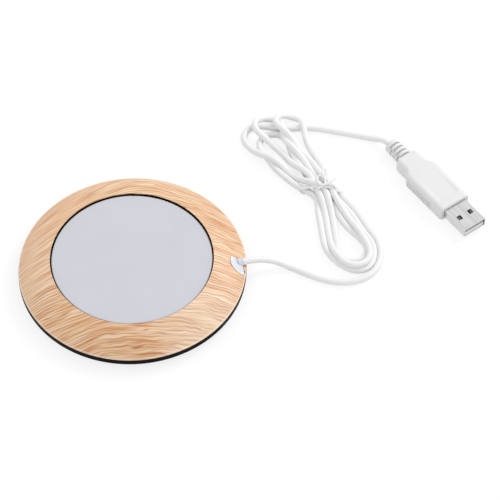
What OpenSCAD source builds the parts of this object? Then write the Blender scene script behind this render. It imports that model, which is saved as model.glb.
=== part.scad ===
// Electric mug warmer: a crowned wood-grain ring round a heating plate, on a closed base tray,
// with a USB lead folded into a tied hank. Millimetres, +Z up, floor at z = 0, disc centre at the origin.

/* [Disc] */
// Diameter of the disc over its black edge
disc_d = 100; // [96:1:106]
// Height of the straight black edge of the ring
edge_h = 3; // [2.4:0.2:4]
// Bevel along the lower edge of the ring
edge_bevel = 0.4; // [0.2:0.1:0.8]
// Rise of the crowned top from the edge to the hole
crown_rise = 7; // [5.5:0.5:8]
// Radius of the arc that makes the crown
crown_r = 40; // [34:1:60]
// Diameter of the hole round the heating plate
hole_d = 71.6; // [69:0.2:73]
// Thickness of the wood-grain film
film_t = 0.4; // [0.3:0.1:0.6]
// Width of the black edge that the film leaves bare
film_margin = 0.1; // [0.05:0.05:0.5]

/* [Heating plate] */
// Thickness of the plate
plate_t = 1.4; // [1:0.1:2]
// Depth of the plate below the top of the ring
plate_recess = 0.8; // [0.5:0.1:1.4]
// Gap between the plate and the ring
plate_gap = 0.6; // [0.4:0.1:1]
// Rounding of the plate's upper edge
plate_round = 0.4; // [0.2:0.1:0.6]

/* [Heater] */
// Thickness of the heater film
heater_t = 0.3; // [0.2:0.1:0.5]
// Thickness of the etched track
track_t = 0.2; // [0.1:0.05:0.3]
// Width of one line of the track
track_w = 1.4; // [1:0.1:1.6]
// Number of lines in the track, an odd number
track_lines = 9; // [5:2:9]
// Radius of the innermost line of the track
track_inner_r = 9; // [8:0.5:11]
// Half the width of the gap where the track's ends come in
track_gap = 5; // [4.5:0.25:6]
// Radius of a solder pad
pad_r = 1.5; // [1:0.1:1.8]
// Height of the solder on a pad
pad_t = 0.6; // [0.4:0.1:1]
// Thickness of the foam under the heater
foam_t = 3.2; // [2.4:0.2:4]
// Half the width of the window in the foam
foam_window = 9.5; // [9:0.25:11]

/* [Base tray] */
// Thickness of the tray's floor
floor_t = 2; // [1.8:0.1:3]
// How far the tray stands in from the edge of the disc
tray_inset = 3.5; // [3:0.5:4.5]
// Thickness of the wall that carries the plate
wall_t = 1.6; // [1.2:0.1:2]
// Clearance between that wall and the ring
wall_gap = 0.3; // [0.2:0.05:0.5]
// Number of ribs under the foam
rib_count = 8; // [4:4:12]
// Thickness of a rib
rib_t = 1.2; // [0.8:0.1:1.6]
// Width of the foot ring
foot_w = 8; // [6:0.5:9]
// Thickness of the foot ring
foot_t = 1.5; // [1.2:0.1:2]
// Depth of the groove that the foot ring is glued into
foot_seat = 0.5; // [0.3:0.1:0.7]

/* [Fasteners] */
// Diameter of a base screw
screw_d = 3; // [2.5:0.1:3.5]
// Length of a base screw under its head
screw_l = 6; // [5:0.5:7]
// Diameter of a clamp screw
clamp_screw_d = 2; // [1.6:0.1:2.2]
// Thickness of the clamp bar
clamp_t = 2; // [1.6:0.1:2.4]

/* [Cord outlet] */
// Length of the outlet cap
cap_l = 9.4; // [8:0.2:11]
// Width of the outlet cap
cap_w = 4.6; // [3.8:0.1:5]
// Distance of the cap's centre from the edge of the disc
cap_inset = 4; // [3.5:0.1:5]
// How far the cap's centre lies to the side of the cord's tongue
cap_shift = 1.5; // [0:0.1:2]
// Turn of the cap away from the line of the edge
cap_turn = 34; // [0:1:40]
// How far the cap stands above the wood
cap_proud = 0.5; // [0.3:0.1:0.8]
// Width of the lower rim round the cap
cap_rim = 0.5; // [0.3:0.1:0.8]
// Clearance round the cap and its tongue
cap_gap = 0.2; // [0.1:0.05:0.3]
// Width of the tongue that runs in to the tray
tongue_w = 5.2; // [4.6:0.1:6]

/* [Cord] */
// Diameter of the cord
cord_d = 3; // [2.6:0.1:3.4]
// Diameter of a single lead inside
lead_d = 1.2; // [1:0.1:1.4]
// Height of the hank
hank_h = 7.6; // [6:0.2:9]
// Width of the tie
tie_w = 2.2; // [1.6:0.1:3]
// Thickness of the tie
tie_t = 0.6; // [0.4:0.1:0.8]

/* [USB plug] */
// Width of the metal shell
shell_w = 12; // [11.9:0.05:12.1]
// Height of the metal shell
shell_h = 4.5; // [4.45:0.05:4.6]
// Length of shell in front of the moulding
shell_l = 14; // [12:0.5:19]
// Length of shell held inside the moulding
shell_grip = 6; // [4:0.5:7]
// Thickness of the shell's sheet
shell_t = 0.3; // [0.25:0.05:0.4]
// Outer radius of the shell's bends
shell_bend = 0.5; // [0.45:0.05:0.6]
// Width of the moulding
mould_w = 16.4; // [15:0.2:17]
// Height of the moulding
mould_h = 8; // [7.6:0.2:9]
// Length of the moulding
mould_l = 35; // [32:0.5:38]
// Length of the ribbed strain relief
relief_l = 11; // [9:0.5:13]
// Diameter of the strain relief at the cord
relief_d = 7.2; // [6:0.2:7.2]
// Number of rings in the strain relief
relief_rings = 4; // [3:1:5]
// Width of a slot in the strain relief
slot_w = 0.8; // [0.6:0.1:1]
// Number of grip ribs on each side
grip_count = 12; // [6:1:12]
// Distance between two grip ribs
grip_pitch = 1.45; // [1.2:0.05:1.5]

/* [Hidden] */
$fn = 96;
eps = 0.01;

// Disc, worked out from the edge inwards
disc_r = disc_d / 2;
hole_r = hole_d / 2;
tray_r = disc_r - tray_inset;
floor_z = foot_t - foot_seat;
board_z = floor_z + floor_t;
rim_z = board_z + edge_h;
crown_z = rim_z + crown_rise;
// The crown is an arc through the edge (disc_r, rim_z) and the hole (hole_r, crown_z)
chord = sqrt(pow(disc_r - hole_r, 2) + pow(crown_rise, 2));
arc_off = sqrt(pow(crown_r, 2) - pow(chord / 2, 2));
arc_x = (disc_r + hole_r) / 2 - arc_off * crown_rise / chord;
arc_z = (rim_z + crown_z) / 2 - arc_off * (disc_r - hole_r) / chord;
function crown_at(r, over = 0) = arc_z + sqrt(pow(crown_r + over, 2) - pow(r - arc_x, 2));
film_r = disc_r - film_margin;
ring_top = crown_z + film_t;

// Plate and what lies under it, worked out from the top down
plate_r = hole_r - plate_gap;
plate_top = ring_top - plate_recess;
plate_z = plate_top - plate_t;
wall_r = hole_r - wall_gap;
bay_r = wall_r - wall_t;
heater_r = bay_r - 1.1;
heater_z = plate_z - heater_t;
track_z = heater_z - track_t;
track_outer_r = heater_r - 1.2;
track_step = (track_outer_r - track_inner_r) / (track_lines - 1);
foam_z = track_z - foam_t;
foam_x = 8;
pad_x = track_inner_r + 5;
pad_y = track_gap - pad_r - 0.6;
pad_z = track_z - pad_t;

// Cord path inside the tray, along +X
cord_r = cord_d / 2;
lead_r = lead_d / 2;
saddle_t = 0.3;
inner_z = board_z + saddle_t + cord_r;
tongue_x = bay_r - 2.4;
inner_end_x = tongue_x - 9;
clamp_x = (tongue_x + inner_end_x) / 2;
clamp_w = 3.4;
post_y = cord_r + 2.6;
post_r = 1.9;
post_top = inner_z + cord_r - 0.5;
clamp_l = 2 * (post_y + post_r);

// Fuse, held against the track beside the pads
fuse_r = 1.2;
fuse_l = 8;
fuse_x = pad_x;
fuse_y = track_gap + 1.5;
fuse_z = track_z - fuse_r;

// Base screws and foot ring
screw_circle_r = (hole_r + tray_r) / 2 + 0.6;
screw_head_d = 2 * screw_d;
screw_head_h = screw_d * 0.4;
screw_angle = 45;
foot_out_r = tray_r - 1;
foot_in_r = foot_out_r - foot_w;

// Outlet cap: two arcs that meet in a point, turned by cap_turn
cap_x = disc_r - cap_inset;
cap_arc_r = (pow(cap_l, 2) + pow(cap_w, 2)) / (4 * cap_w);
cap_floor = board_z + 1.6;
cap_step = 0.2;
tongue_h = 2 * (inner_z - board_z);
exit_angle = 20;
exit_x = cap_x + cap_w / 2 - 0.4;
exit_y = 1.2;
exit_z = crown_at(exit_x, film_t) + 0.2;
collar_r = cord_r + 0.6;
collar_l = 1.8;

// Cord route on the floor: [x, y, z] of the centre line, from the outlet to the plug
lead_points = [[52, 2.6, 7.9], [57, 4.1, 6.5], [62, 4.9, 4.4], [67, 4.4, 2.6], [72, 2.2, 1.7],
               [78, -0.9, 1.6], [84, -3.4, 1.6], [89, -4.7, 1.6], [94, -4.7, 1.6]];
tail_points = [[76, 84.2, 1.6], [81, 84.2, 1.6], [88, 82.4, 1.6], [95, 80.9, 1.7], [102, 79.3, 2],
               [107.5, 77.8, 2.5], [111.8, 75.7, 3.3]];
hank_low = [101.5, 8];
hank_low_r = 11.5;
hank_waist = [83.5, 48];
hank_waist_r = 6.4;
hank_up_a = [52.5, 79];
hank_up_b = [65, 82];
hank_up_r = 7.5;
hank_angle = -58;
tie_span = 2 * hank_waist_r;

// Plug: lies flat, its axis along +X of its own frame, origin at the front face of the moulding
plug_angle = -53.5;
plug_place = [143.2, 35, mould_h / 2];
plug_dir = [cos(plug_angle), sin(plug_angle)];
plug_rear = [plug_place[0] - plug_dir[0] * (mould_l + relief_l),
             plug_place[1] - plug_dir[1] * (mould_l + relief_l), plug_place[2]];
// Stations of the moulding: [share of its length, half width, half height, corner radius]
mould_half = mould_w / 2;
neck_half = mould_half - 2.1;
mould_top = mould_h / 2;
stations = [[0, mould_half - 0.5, mould_top - 0.5, 1.8], [0.015, mould_half - 0.1, mould_top, 2.1],
            [0.12, mould_half, mould_top, 2.2], [0.3, mould_half, mould_top, 2.2],
            [0.5, mould_half, mould_top, 2.2], [0.67, mould_half, mould_top, 2.2],
            [0.72, mould_half - 0.5, mould_top, 2.2], [0.76, mould_half - 1.45, mould_top, 2.2],
            [0.8, neck_half, mould_top, 2.2], [0.9, neck_half, mould_top, 2.2],
            [0.96, neck_half - 0.1, mould_top, 2.2], [0.985, neck_half - 0.3, mould_top - 0.1, 2.1],
            [1, neck_half - 0.9, mould_top - 0.4, 1.9]];
corner_steps = 5;
inner_l = 17;
inner_w = mould_w - 4;
inner_h = mould_h - 1.6;
inner_round = 1;
relief_taper = 0.4;
relief_core = cord_r + 0.3;
grip_first = 7.5;
grip_r = 0.42;
grip_h = 4.6;
grip_sunk = 0.15;
frame_x = 12.5;
frame_l = 15;
frame_w = mould_w - 5.4;
frame_line = 0.7;
frame_depth = 0.25;
tongue_gap = 0.3;
tongue_side = 0.4;
tongue_t = (shell_h - 2 * shell_t) / 2;
tongue_z = -shell_h / 2 + shell_t;
contact_w = 1;
contact_t = 0.3;
contact_y = [-3.5, -1, 1, 3.5];
window_l = 2.4;
window_w = 2.2;
window_x = shell_l - 7;
window_y = 3.05;

black_plastic = [0.06, 0.06, 0.065];
black_paint = [0.05, 0.045, 0.04];
wood_tone = [0.93, 0.78, 0.62];
plate_tone = [0.83, 0.83, 0.87];
white_pvc = [0.94, 0.94, 0.95];
steel_tone = [0.72, 0.72, 0.73];
copper_tone = [0.78, 0.48, 0.3];

// ---- shared shapes ----

// Region under the crown's arc, grown by over, between two radii
module crown_profile(r_in, r_out, z_low, over) {
    intersection() {
        translate([r_in, z_low]) square([r_out - r_in, crown_z]);
        translate([arc_x, arc_z]) circle(r = crown_r + over, $fn = 240);
    }
}

// Upright prism of the cap's outline, grown by grow
module cap_prism(grow, z_low, h) {
    translate([cap_x, -cap_shift, z_low]) rotate([0, 0, cap_turn])
        intersection_for(side = [-1, 1])
            translate([side * (cap_arc_r - cap_w / 2), 0, 0]) cylinder(r = cap_arc_r + grow, h = h);
}

// Round bar along the direction in which the cord leaves, from the cap outwards
module exit_bar(r, from, to) {
    translate([exit_x, exit_y, exit_z]) rotate([0, 0, exit_angle])
        translate([from, 0, 0]) rotate([0, 90, 0]) cylinder(r = r, h = to - from, $fn = 48);
}

module at_screws() {
    for (i = [0:3]) rotate([0, 0, screw_angle + 90 * i]) translate([screw_circle_r, 0, 0]) children();
}

module at_clamp_posts() {
    for (side = [-1, 1]) translate([clamp_x, side * post_y, 0]) children();
}

// Straight round wire between two points
module wire(a, b, r) {
    d = b - a;
    l = norm(d);
    translate(a) rotate([0, acos(d[2] / l), atan2(d[1], d[0])]) cylinder(r = r, h = l, $fn = 24);
}

function unit(v) = v / norm(v);
function tangent(p, i) = unit(p[min(i + 1, len(p) - 1)] - p[max(i - 1, 0)]);
function ring_points(c, t, r, n) =
    let(side = unit(cross(t, [0, 0, 1])), up = cross(side, t))
    [for (k = [0:n - 1]) c + r * (cos((k + 0.5) * 360 / n) * side + sin((k + 0.5) * 360 / n) * up)];

// Tube of n sides swept along a list of points
module tube(p, r, n) {
    points = [for (i = [0:len(p) - 1]) each ring_points(p[i], tangent(p, i), r, n)];
    last = (len(p) - 1) * n;
    walls = [for (i = [0:len(p) - 2], k = [0:n - 1])
        [i * n + k, i * n + (k + 1) % n, (i + 1) * n + (k + 1) % n, (i + 1) * n + k]];
    caps = [[for (k = [n - 1:-1:0]) k], [for (k = [0:n - 1]) last + k]];
    polyhedron(points, concat(walls, caps), convexity = 4);
}

// Rounded rectangle in the YZ plane at x, as a list of points
function slab_ring(x, hw, hh, c) =
    [for (q = [0:3], k = [0:corner_steps])
        let(a = 90 * q + 90 * k / corner_steps,
            sy = (q == 0 || q == 3) ? 1 : -1,
            sz = (q < 2) ? 1 : -1)
        [x, sy * (hw - c) + c * cos(a), sz * (hh - c) + c * sin(a)]];

// Solid through a list of such rectangles
module loft(sections) {
    n = 4 * (corner_steps + 1);
    points = [for (s = sections) each slab_ring(s[0], s[1], s[2], s[3])];
    last = (len(sections) - 1) * n;
    walls = [for (i = [0:len(sections) - 2], k = [0:n - 1])
        [i * n + k, i * n + (k + 1) % n, (i + 1) * n + (k + 1) % n, (i + 1) * n + k]];
    caps = [[for (k = [n - 1:-1:0]) k], [for (k = [0:n - 1]) last + k]];
    polyhedron(points, concat(walls, caps), convexity = 6);
}

// Catmull-Rom value between stations i and i + 1
function blend(s, i, t) =
    let(a = s[max(i - 1, 0)], b = s[i], c = s[i + 1], d = s[min(i + 2, len(s) - 1)])
    0.5 * (2 * b + (c - a) * t + (2 * a - 5 * b + 4 * c - d) * pow(t, 2)
        + (3 * b - a - 3 * c + d) * pow(t, 3));

// Flat bar with round edges along X, size [length, width, height]
module round_bar(l, w, h, r) {
    rotate([90, 0, 90]) linear_extrude(l) {
        square([w - 2 * r, h], center = true);
        square([w, h - 2 * r], center = true);
        for (y = [-1, 1], z = [-1, 1]) translate([y * (w / 2 - r), z * (h / 2 - r)]) circle(r = r, $fn = 32);
    }
}

module in_plug() {
    translate(plug_place) rotate([0, 0, plug_angle]) children();
}

// ---- disc ----

// Turned fibreboard ring, painted black, with a crowned top
module ring_board() {
    color(black_paint) difference() {
        rotate_extrude() difference() {
            crown_profile(hole_r, disc_r, board_z, 0);
            translate([disc_r, board_z]) rotate(45)
                square(edge_bevel * sqrt(2), center = true);
        }
        cap_prism(cap_gap, cap_floor, crown_z);
        translate([hole_r - 1, -tongue_w / 2 - cap_gap, board_z - 1])
            cube([cap_x - hole_r + 1, tongue_w + 2 * cap_gap, tongue_h + cap_gap + 1]);
        exit_bar(collar_r + cap_gap, -collar_l, cap_gap);
        exit_bar(cord_r + cap_gap, 0, cap_inset * 2);
        at_screws() translate([0, 0, board_z - 1])
            cylinder(d = screw_d, h = screw_l - floor_t + screw_head_h + 1, $fn = 32);
    }
}

// Printed wood-grain film over the crown
module wood_film() {
    color(wood_tone) difference() {
        rotate_extrude() difference() {
            crown_profile(hole_r, film_r, board_z, film_t);
            crown_profile(hole_r - 1, film_r + 1, board_z - 1, 0);
        }
        cap_prism(cap_gap, board_z, 2 * crown_z);
        exit_bar(collar_r + cap_gap, -collar_l, cap_gap);
        for (drop = [0, 3 * film_t]) translate([0, 0, -drop]) exit_bar(cord_r + cap_gap, 0, cap_inset * 2);
    }
}

// ---- heater ----

// White coated aluminium plate
module heating_plate() {
    color(plate_tone) rotate_extrude() {
        translate([0, plate_z]) square([plate_r - plate_round, plate_t]);
        translate([0, plate_z]) square([plate_r, plate_t - plate_round]);
        translate([plate_r - plate_round, plate_top - plate_round]) intersection() {
            circle(r = plate_round, $fn = 48);
            square(plate_round);
        }
    }
}

module heater_film() {
    color([0.75, 0.45, 0.15]) translate([0, 0, heater_z]) cylinder(r = heater_r, h = heater_t);
}

function line_r(i) = track_inner_r + i * track_step;
function line_end(i) = sqrt(pow(line_r(i), 2) - pow(track_gap, 2));

// Serpentine of open rings joined at alternate ends, with both ends brought in to the pads
module heater_track() {
    half = track_w / 2;
    outer_x = line_end(track_lines - 1);
    color(copper_tone) translate([0, 0, track_z]) linear_extrude(track_t) {
        difference() {
            for (i = [0:track_lines - 1]) difference() {
                circle(r = line_r(i) + half);
                circle(r = line_r(i) - half);
            }
            translate([0, -track_gap]) square([heater_r, 2 * track_gap]);
        }
        for (i = [0:track_lines - 2]) {
            side = (i % 2 == 0) ? -1 : 1;
            translate([line_end(i), side * (track_gap + half) - half])
                square([line_end(i + 1) - line_end(i), track_w]);
        }
        translate([line_end(0) - half, pad_y - half]) square([track_w, track_gap - pad_y + track_w]);
        translate([line_end(0) - half, pad_y - half]) square([pad_x - line_end(0), track_w]);
        translate([outer_x - half, -track_gap - half]) square([track_w, track_gap - pad_y + track_w]);
        translate([pad_x, -pad_y - half]) square([outer_x - pad_x + half, track_w]);
        for (side = [-1, 1]) translate([pad_x, side * pad_y]) circle(r = pad_r, $fn = 48);
    }
}

module solder_pads() {
    color([0.8, 0.8, 0.82]) for (side = [-1, 1])
        translate([pad_x, side * pad_y, pad_z]) cylinder(r1 = pad_r * 0.6, r2 = pad_r, h = pad_t, $fn = 48);
}

// Thermal fuse: a sealed can with a stepped end
module thermal_fuse() {
    color([0.85, 0.85, 0.8]) translate([fuse_x - fuse_l / 2, fuse_y, fuse_z]) rotate([0, 90, 0]) {
        cylinder(r = fuse_r, h = fuse_l, $fn = 48);
        translate([0, 0, fuse_l]) cylinder(r1 = fuse_r * 0.8, r2 = lead_r, h = 1, $fn = 48);
    }
}

// Closed-cell foam that presses the heater to the plate
module insulation_pad() {
    color([0.85, 0.85, 0.82]) difference() {
        translate([0, 0, foam_z]) cylinder(r = bay_r - 0.5, h = foam_t);
        translate([foam_x, -foam_window, foam_z - 1]) cube([bay_r, 2 * foam_window, foam_t + 2]);
    }
}

// ---- base ----

// Moulded tray: floor, wall under the plate, ribs under the foam, cord saddle and clamp posts
module base_tray() {
    color(black_plastic) {
        difference() {
            rotate_extrude() {
                difference() {
                    translate([0, floor_z]) square([tray_r, floor_t]);
                    translate([tray_r, floor_z]) rotate(45) square(floor_t * 0.6, center = true);
                    translate([foot_in_r, floor_z - 1]) square([foot_w, foot_seat + 1]);
                }
                translate([bay_r, board_z - eps]) square([wall_t, plate_z - board_z + eps]);
            }
            at_screws() {
                translate([0, 0, floor_z - 1]) cylinder(d = screw_d + 0.4, h = floor_t + 2, $fn = 32);
                translate([0, 0, floor_z - 1])
                    cylinder(d = screw_head_d + 0.4, h = 1 + foot_seat + eps, $fn = 32);
                translate([0, 0, floor_z + foot_seat])
                    cylinder(d1 = screw_head_d + 0.4, d2 = screw_d + 0.4, h = screw_head_h, $fn = 32);
            }
            translate([bay_r - 1, -tongue_w / 2 - cap_gap, board_z])
                cube([wall_t + 2, tongue_w + 2 * cap_gap, tongue_h + cap_gap]);
            at_clamp_posts() translate([0, 0, floor_z + 1]) cylinder(d = clamp_screw_d, h = floor_t, $fn = 32);
        }
        for (i = [0:rib_count - 1]) rotate([0, 0, (i + 0.5) * 360 / rib_count])
            translate([foam_x + rib_t, -rib_t / 2, board_z - eps])
                cube([bay_r - foam_x - rib_t / 2, rib_t, foam_z - board_z + eps]);
        translate([0, 0, board_z - eps]) difference() {
            cylinder(r = foam_x + 2 * rib_t, h = foam_z - board_z + eps);
            translate([0, 0, -1]) cylinder(r = foam_x + rib_t, h = foam_z);
        }
        translate([clamp_x - clamp_w / 2, -cord_r, board_z - eps]) difference() {
            cube([clamp_w, cord_d, saddle_t + 0.6]);
            translate([-1, cord_r, inner_z - board_z + eps]) rotate([0, 90, 0])
                cylinder(r = cord_r, h = clamp_w + 2, $fn = 48);
        }
        at_clamp_posts() difference() {
            translate([0, 0, board_z - eps]) cylinder(r = post_r, h = post_top - board_z + eps, $fn = 48);
            translate([0, 0, floor_z + 1]) cylinder(d = clamp_screw_d, h = post_top, $fn = 32);
        }
    }
}

// Four countersunk screws that hold the tray to the ring
module base_screws() {
    color(steel_tone) at_screws() {
        translate([0, 0, floor_z + foot_seat]) difference() {
            cylinder(d1 = screw_head_d, d2 = screw_d, h = screw_head_h, $fn = 32);
            translate([0, 0, -eps]) for (a = [0, 90]) rotate([0, 0, a])
                translate([-screw_d * 0.6, -0.3, 0]) cube([screw_d * 1.2, 0.6, screw_head_h * 0.6]);
        }
        translate([0, 0, floor_z + foot_seat + screw_head_h - eps])
            cylinder(d = screw_d, h = screw_l - screw_head_h - foot_seat, $fn = 32);
    }
}

// Non-slip foam ring under the tray
module foot_ring() {
    color([0.08, 0.08, 0.085]) rotate_extrude() difference() {
        translate([foot_in_r, 0]) square([foot_w, foot_t]);
        for (r = [foot_in_r, foot_out_r]) translate([r, 0]) rotate(45) square(0.5, center = true);
    }
}

// ---- cord inside the disc ----

// White moulded outlet: rimmed cap in the crown, tongue in the ring's channel, flange inside the wall
module cord_outlet() {
    color(white_pvc) {
        difference() {
            for (inset = [0, cap_rim]) intersection() {
                cap_prism(-inset, cap_floor, 2 * crown_z);
                rotate_extrude() crown_profile(hole_r, disc_r, board_z,
                    film_t + cap_proud - (inset > 0 ? 0 : cap_step));
            }
            exit_bar(cord_r, 0, cap_inset * 2);
        }
        translate([tongue_x + 1, -tongue_w / 2, board_z])
            cube([cap_x - tongue_x - 1.4, tongue_w, tongue_h]);
        translate([tongue_x, -tongue_w / 2 - 1.2, board_z]) cube([1.6, tongue_w + 2.4, tongue_h + 1.2]);
        exit_bar(collar_r, -collar_l, 0);
    }
}

module cord_clamp() {
    color(black_plastic) difference() {
        translate([clamp_x - clamp_w / 2, -clamp_l / 2, post_top]) cube([clamp_w, clamp_l, clamp_t]);
        translate([clamp_x - clamp_w, 0, inner_z]) rotate([0, 90, 0])
            cylinder(r = cord_r, h = 2 * clamp_w, $fn = 48);
        at_clamp_posts() translate([0, 0, post_top - 1]) cylinder(d = clamp_screw_d, h = clamp_t + 2, $fn = 32);
    }
}

module clamp_screws() {
    color(steel_tone) at_clamp_posts() {
        translate([0, 0, floor_z + 1]) cylinder(d = clamp_screw_d, h = post_top + clamp_t - floor_z - 1, $fn = 32);
        translate([0, 0, post_top + clamp_t]) cylinder(d = 1.8 * clamp_screw_d, h = 0.8, $fn = 32);
    }
}

// Stripped end of the cord's jacket
module cord_inner_end() {
    color(white_pvc) translate([inner_end_x, 0, inner_z]) rotate([0, 90, 0])
        cylinder(r = cord_r, h = tongue_x - inner_end_x, $fn = 48);
}

// Joint of a lead under its pad
module lead_joint(side) {
    translate([pad_x, side * pad_y, pad_z - lead_r]) cylinder(r = lead_r, h = lead_r, $fn = 24);
}

// Red lead: from the jacket to the fuse, and from the fuse to its pad
module red_lead() {
    y = lead_r + 0.05;
    near = fuse_x + fuse_l / 2 + 1;
    far = fuse_x - fuse_l / 2;
    joint_z = pad_z - lead_r;
    color([0.7, 0.08, 0.06]) {
        tube([[inner_end_x, y, inner_z], [inner_end_x - 0.7, y, inner_z], [inner_end_x - 1.2, y + 0.7, inner_z + 0.4],
              [near + 1.6, 2.6, inner_z + 1.3], [near + 1.7, 4.3, fuse_z - 1.3], [near + 1.5, fuse_y - 0.9, fuse_z - 0.5],
              [near + 0.7, fuse_y, fuse_z], [near, fuse_y, fuse_z]], lead_r, 8);
        tube([[far, fuse_y, fuse_z], [far - 0.6, fuse_y, fuse_z], [far - 1.2, fuse_y - 0.8, fuse_z - 0.2],
              [far - 1.2, fuse_y - 2, fuse_z - 0.5], [far - 0.5, pad_y + 0.5, fuse_z - 0.5],
              [far + 0.9, pad_y, joint_z - 0.4], [pad_x - 1.2, pad_y, joint_z], [pad_x, pad_y, joint_z]], lead_r, 8);
        lead_joint(1);
    }
}

// Black lead: from the jacket straight to its pad
module black_lead() {
    y = -lead_r - 0.05;
    joint_z = pad_z - lead_r;
    color([0.1, 0.1, 0.1]) {
        tube([[inner_end_x, y, inner_z], [inner_end_x - 0.8, y, inner_z], [inner_end_x - 2.2, y - 0.4, inner_z + 0.8],
              [pad_x + 3.4, -pad_y + 0.7, joint_z - 1.4], [pad_x + 1.4, -pad_y + 0.1, joint_z - 0.3],
              [pad_x, -pad_y, joint_z]], lead_r, 8);
        lead_joint(-1);
    }
}

// ---- cord outside ----

function exit_point() = [exit_x, exit_y, exit_z];
function exit_step() = exit_point() + 2 * [cos(exit_angle), sin(exit_angle), 0];

module cord_lead() {
    color(white_pvc) tube(concat([exit_point(), exit_step()], lead_points), cord_r, 8);
}

module cord_tail() {
    ahead = plug_rear - cord_r * [plug_dir[0], plug_dir[1], 0];
    color(white_pvc) tube(concat(tail_points, [ahead, plug_rear]), cord_r, 8);
}

// Section of the hank inside the tie, along +Y and +Z of the hank's own frame
module tie_section(grow) {
    r = (hank_h - 2 * tie_t) / 2 + grow;
    w = tie_span / 2 + grow - r;
    square([2 * w, 2 * r], center = true);
    for (side = [-1, 1]) translate([side * w, 0]) circle(r = r, $fn = 64);
}

module at_waist() {
    translate([hank_waist[0], hank_waist[1], hank_h / 2]) rotate([0, 0, hank_angle]) children();
}

// Folded cord as one solid: two wide ends, a waist for the tie, and stubs for its two ends
module cord_hank() {
    low = lead_points[len(lead_points) - 1];
    up = tail_points[0];
    color(white_pvc) difference() {
        union() {
            linear_extrude(hank_h) {
                hull() {
                    translate(hank_low) circle(r = hank_low_r, $fn = 48);
                    translate(hank_waist) circle(r = hank_waist_r, $fn = 32);
                }
                hull() {
                    translate(hank_waist) circle(r = hank_waist_r, $fn = 32);
                    translate(hank_up_a) circle(r = hank_up_r - 1.5, $fn = 32);
                    translate(hank_up_b) circle(r = hank_up_r, $fn = 32);
                }
            }
            translate(low) rotate([0, 90, 0]) cylinder(r = cord_r, h = hank_low[0] - low[0], $fn = 48);
            translate(up) rotate([0, -90, 0]) cylinder(r = cord_r, h = up[0] - hank_up_b[0], $fn = 48);
        }
        at_waist() translate([-tie_w / 2, 0, 0]) rotate([90, 0, 90]) linear_extrude(tie_w) difference() {
            square([8 * hank_waist_r, 2 * hank_h], center = true);
            tie_section(0);
        }
    }
}

// Wire tie: a band round the waist, with its twist, loop and free ends on top
module cord_tie() {
    wire_r = 0.5;
    top = hank_h / 2;
    knot = [0, 1.2, top + wire_r + 0.15];
    color([0.97, 0.97, 0.96]) at_waist() {
        translate([-tie_w / 2, 0, 0]) rotate([90, 0, 90]) linear_extrude(tie_w) difference() {
            tie_section(tie_t);
            tie_section(0);
        }
        translate([knot[0], knot[1], top - tie_t / 2]) cylinder(r = 0.95, h = tie_t / 2 + 3 * wire_r, $fn = 32);
        for (end = [[1.1, 7.3, 0.3], [7.1, 3.9, 0.2], [-5, 4.2, 0.1]])
            wire(knot, [end[0], end[1], knot[2] + end[2]], wire_r);
        translate([0.3, -0.6, knot[2] + 0.1]) rotate_extrude() translate([1.8, 0]) circle(r = wire_r, $fn = 24);
    }
}

// ---- USB plug ----

function station_at(k) = let(i = min(floor(k), len(stations) - 2)) blend(stations, i, k - i);
function mould_half_at(x) =
    let(s = -x / mould_l, i = max([for (k = [0:len(stations) - 2]) if (stations[k][0] <= s) k]),
        a = stations[i], b = stations[i + 1])
    a[1] + (b[1] - a[1]) * (s - a[0]) / (b[0] - a[0]);

// Slot across the strain relief at x, cut down to its core; turned = 90 puts it in the sides
module relief_slot(x, turned) {
    rotate([turned, 0, 0]) for (side = [-1, 1])
        translate([x, -relief_d, side * (relief_core + relief_d / 2) - relief_d / 2])
            cube([slot_w, 2 * relief_d, relief_d]);
}

// Moulding with a neck, grip ribs, a finger frame and a slotted strain relief
module plug_mould() {
    steps = 3;
    sections = [for (k = [0:1 / steps:len(stations) - 1 + eps])
        let(s = station_at(min(k, len(stations) - 1))) [-s[0] * mould_l, s[1], min(s[2], mould_top), s[3]]];
    pitch = relief_l / (relief_rings + 0.5);
    rear_x = -mould_l - relief_l;
    color(white_pvc) in_plug() difference() {
        union() {
            loft(sections);
            for (i = [0:grip_count - 1], side = [-1, 1]) let(x = -grip_first - grip_pitch * i)
                translate([x, side * (mould_half_at(x) - grip_sunk), -grip_h / 2])
                    cylinder(r = grip_r, h = grip_h, $fn = 12);
            translate([rear_x, 0, 0]) rotate([0, 90, 0])
                cylinder(d1 = relief_d, d2 = relief_d + relief_taper, h = relief_l + 1, $fn = 48);
        }
        for (i = [0:relief_rings - 1]) {
            relief_slot(rear_x + pitch * (i + 1.1), 0);
            if (i < relief_rings - 1) relief_slot(rear_x + pitch * (i + 1.6), 90);
        }
        translate([-frame_x, 0, mould_top - frame_depth]) difference() {
            translate([0, 0, 0.5]) cube([frame_l, frame_w, 1], center = true);
            translate([0, 0, 0.5]) cube([frame_l - 2 * frame_line, frame_w - 2 * frame_line, 2], center = true);
        }
        translate([-shell_grip, 0, 0]) round_bar(shell_grip + 1, shell_w, shell_h, shell_bend);
        translate([-shell_grip - inner_l, 0, 0]) round_bar(inner_l, inner_w, inner_h, inner_round);
    }
}

// Hard inner moulding behind the shell, round the solder joints
module plug_inner_mould() {
    color([0.9, 0.9, 0.88]) in_plug() difference() {
        translate([-shell_grip - inner_l, 0, 0]) round_bar(inner_l, inner_w, inner_h, inner_round);
        for (y = contact_y) translate([-shell_grip - 3, y - contact_w / 2, tongue_z + tongue_t - contact_t])
            cube([4, contact_w, contact_t]);
    }
}

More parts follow.
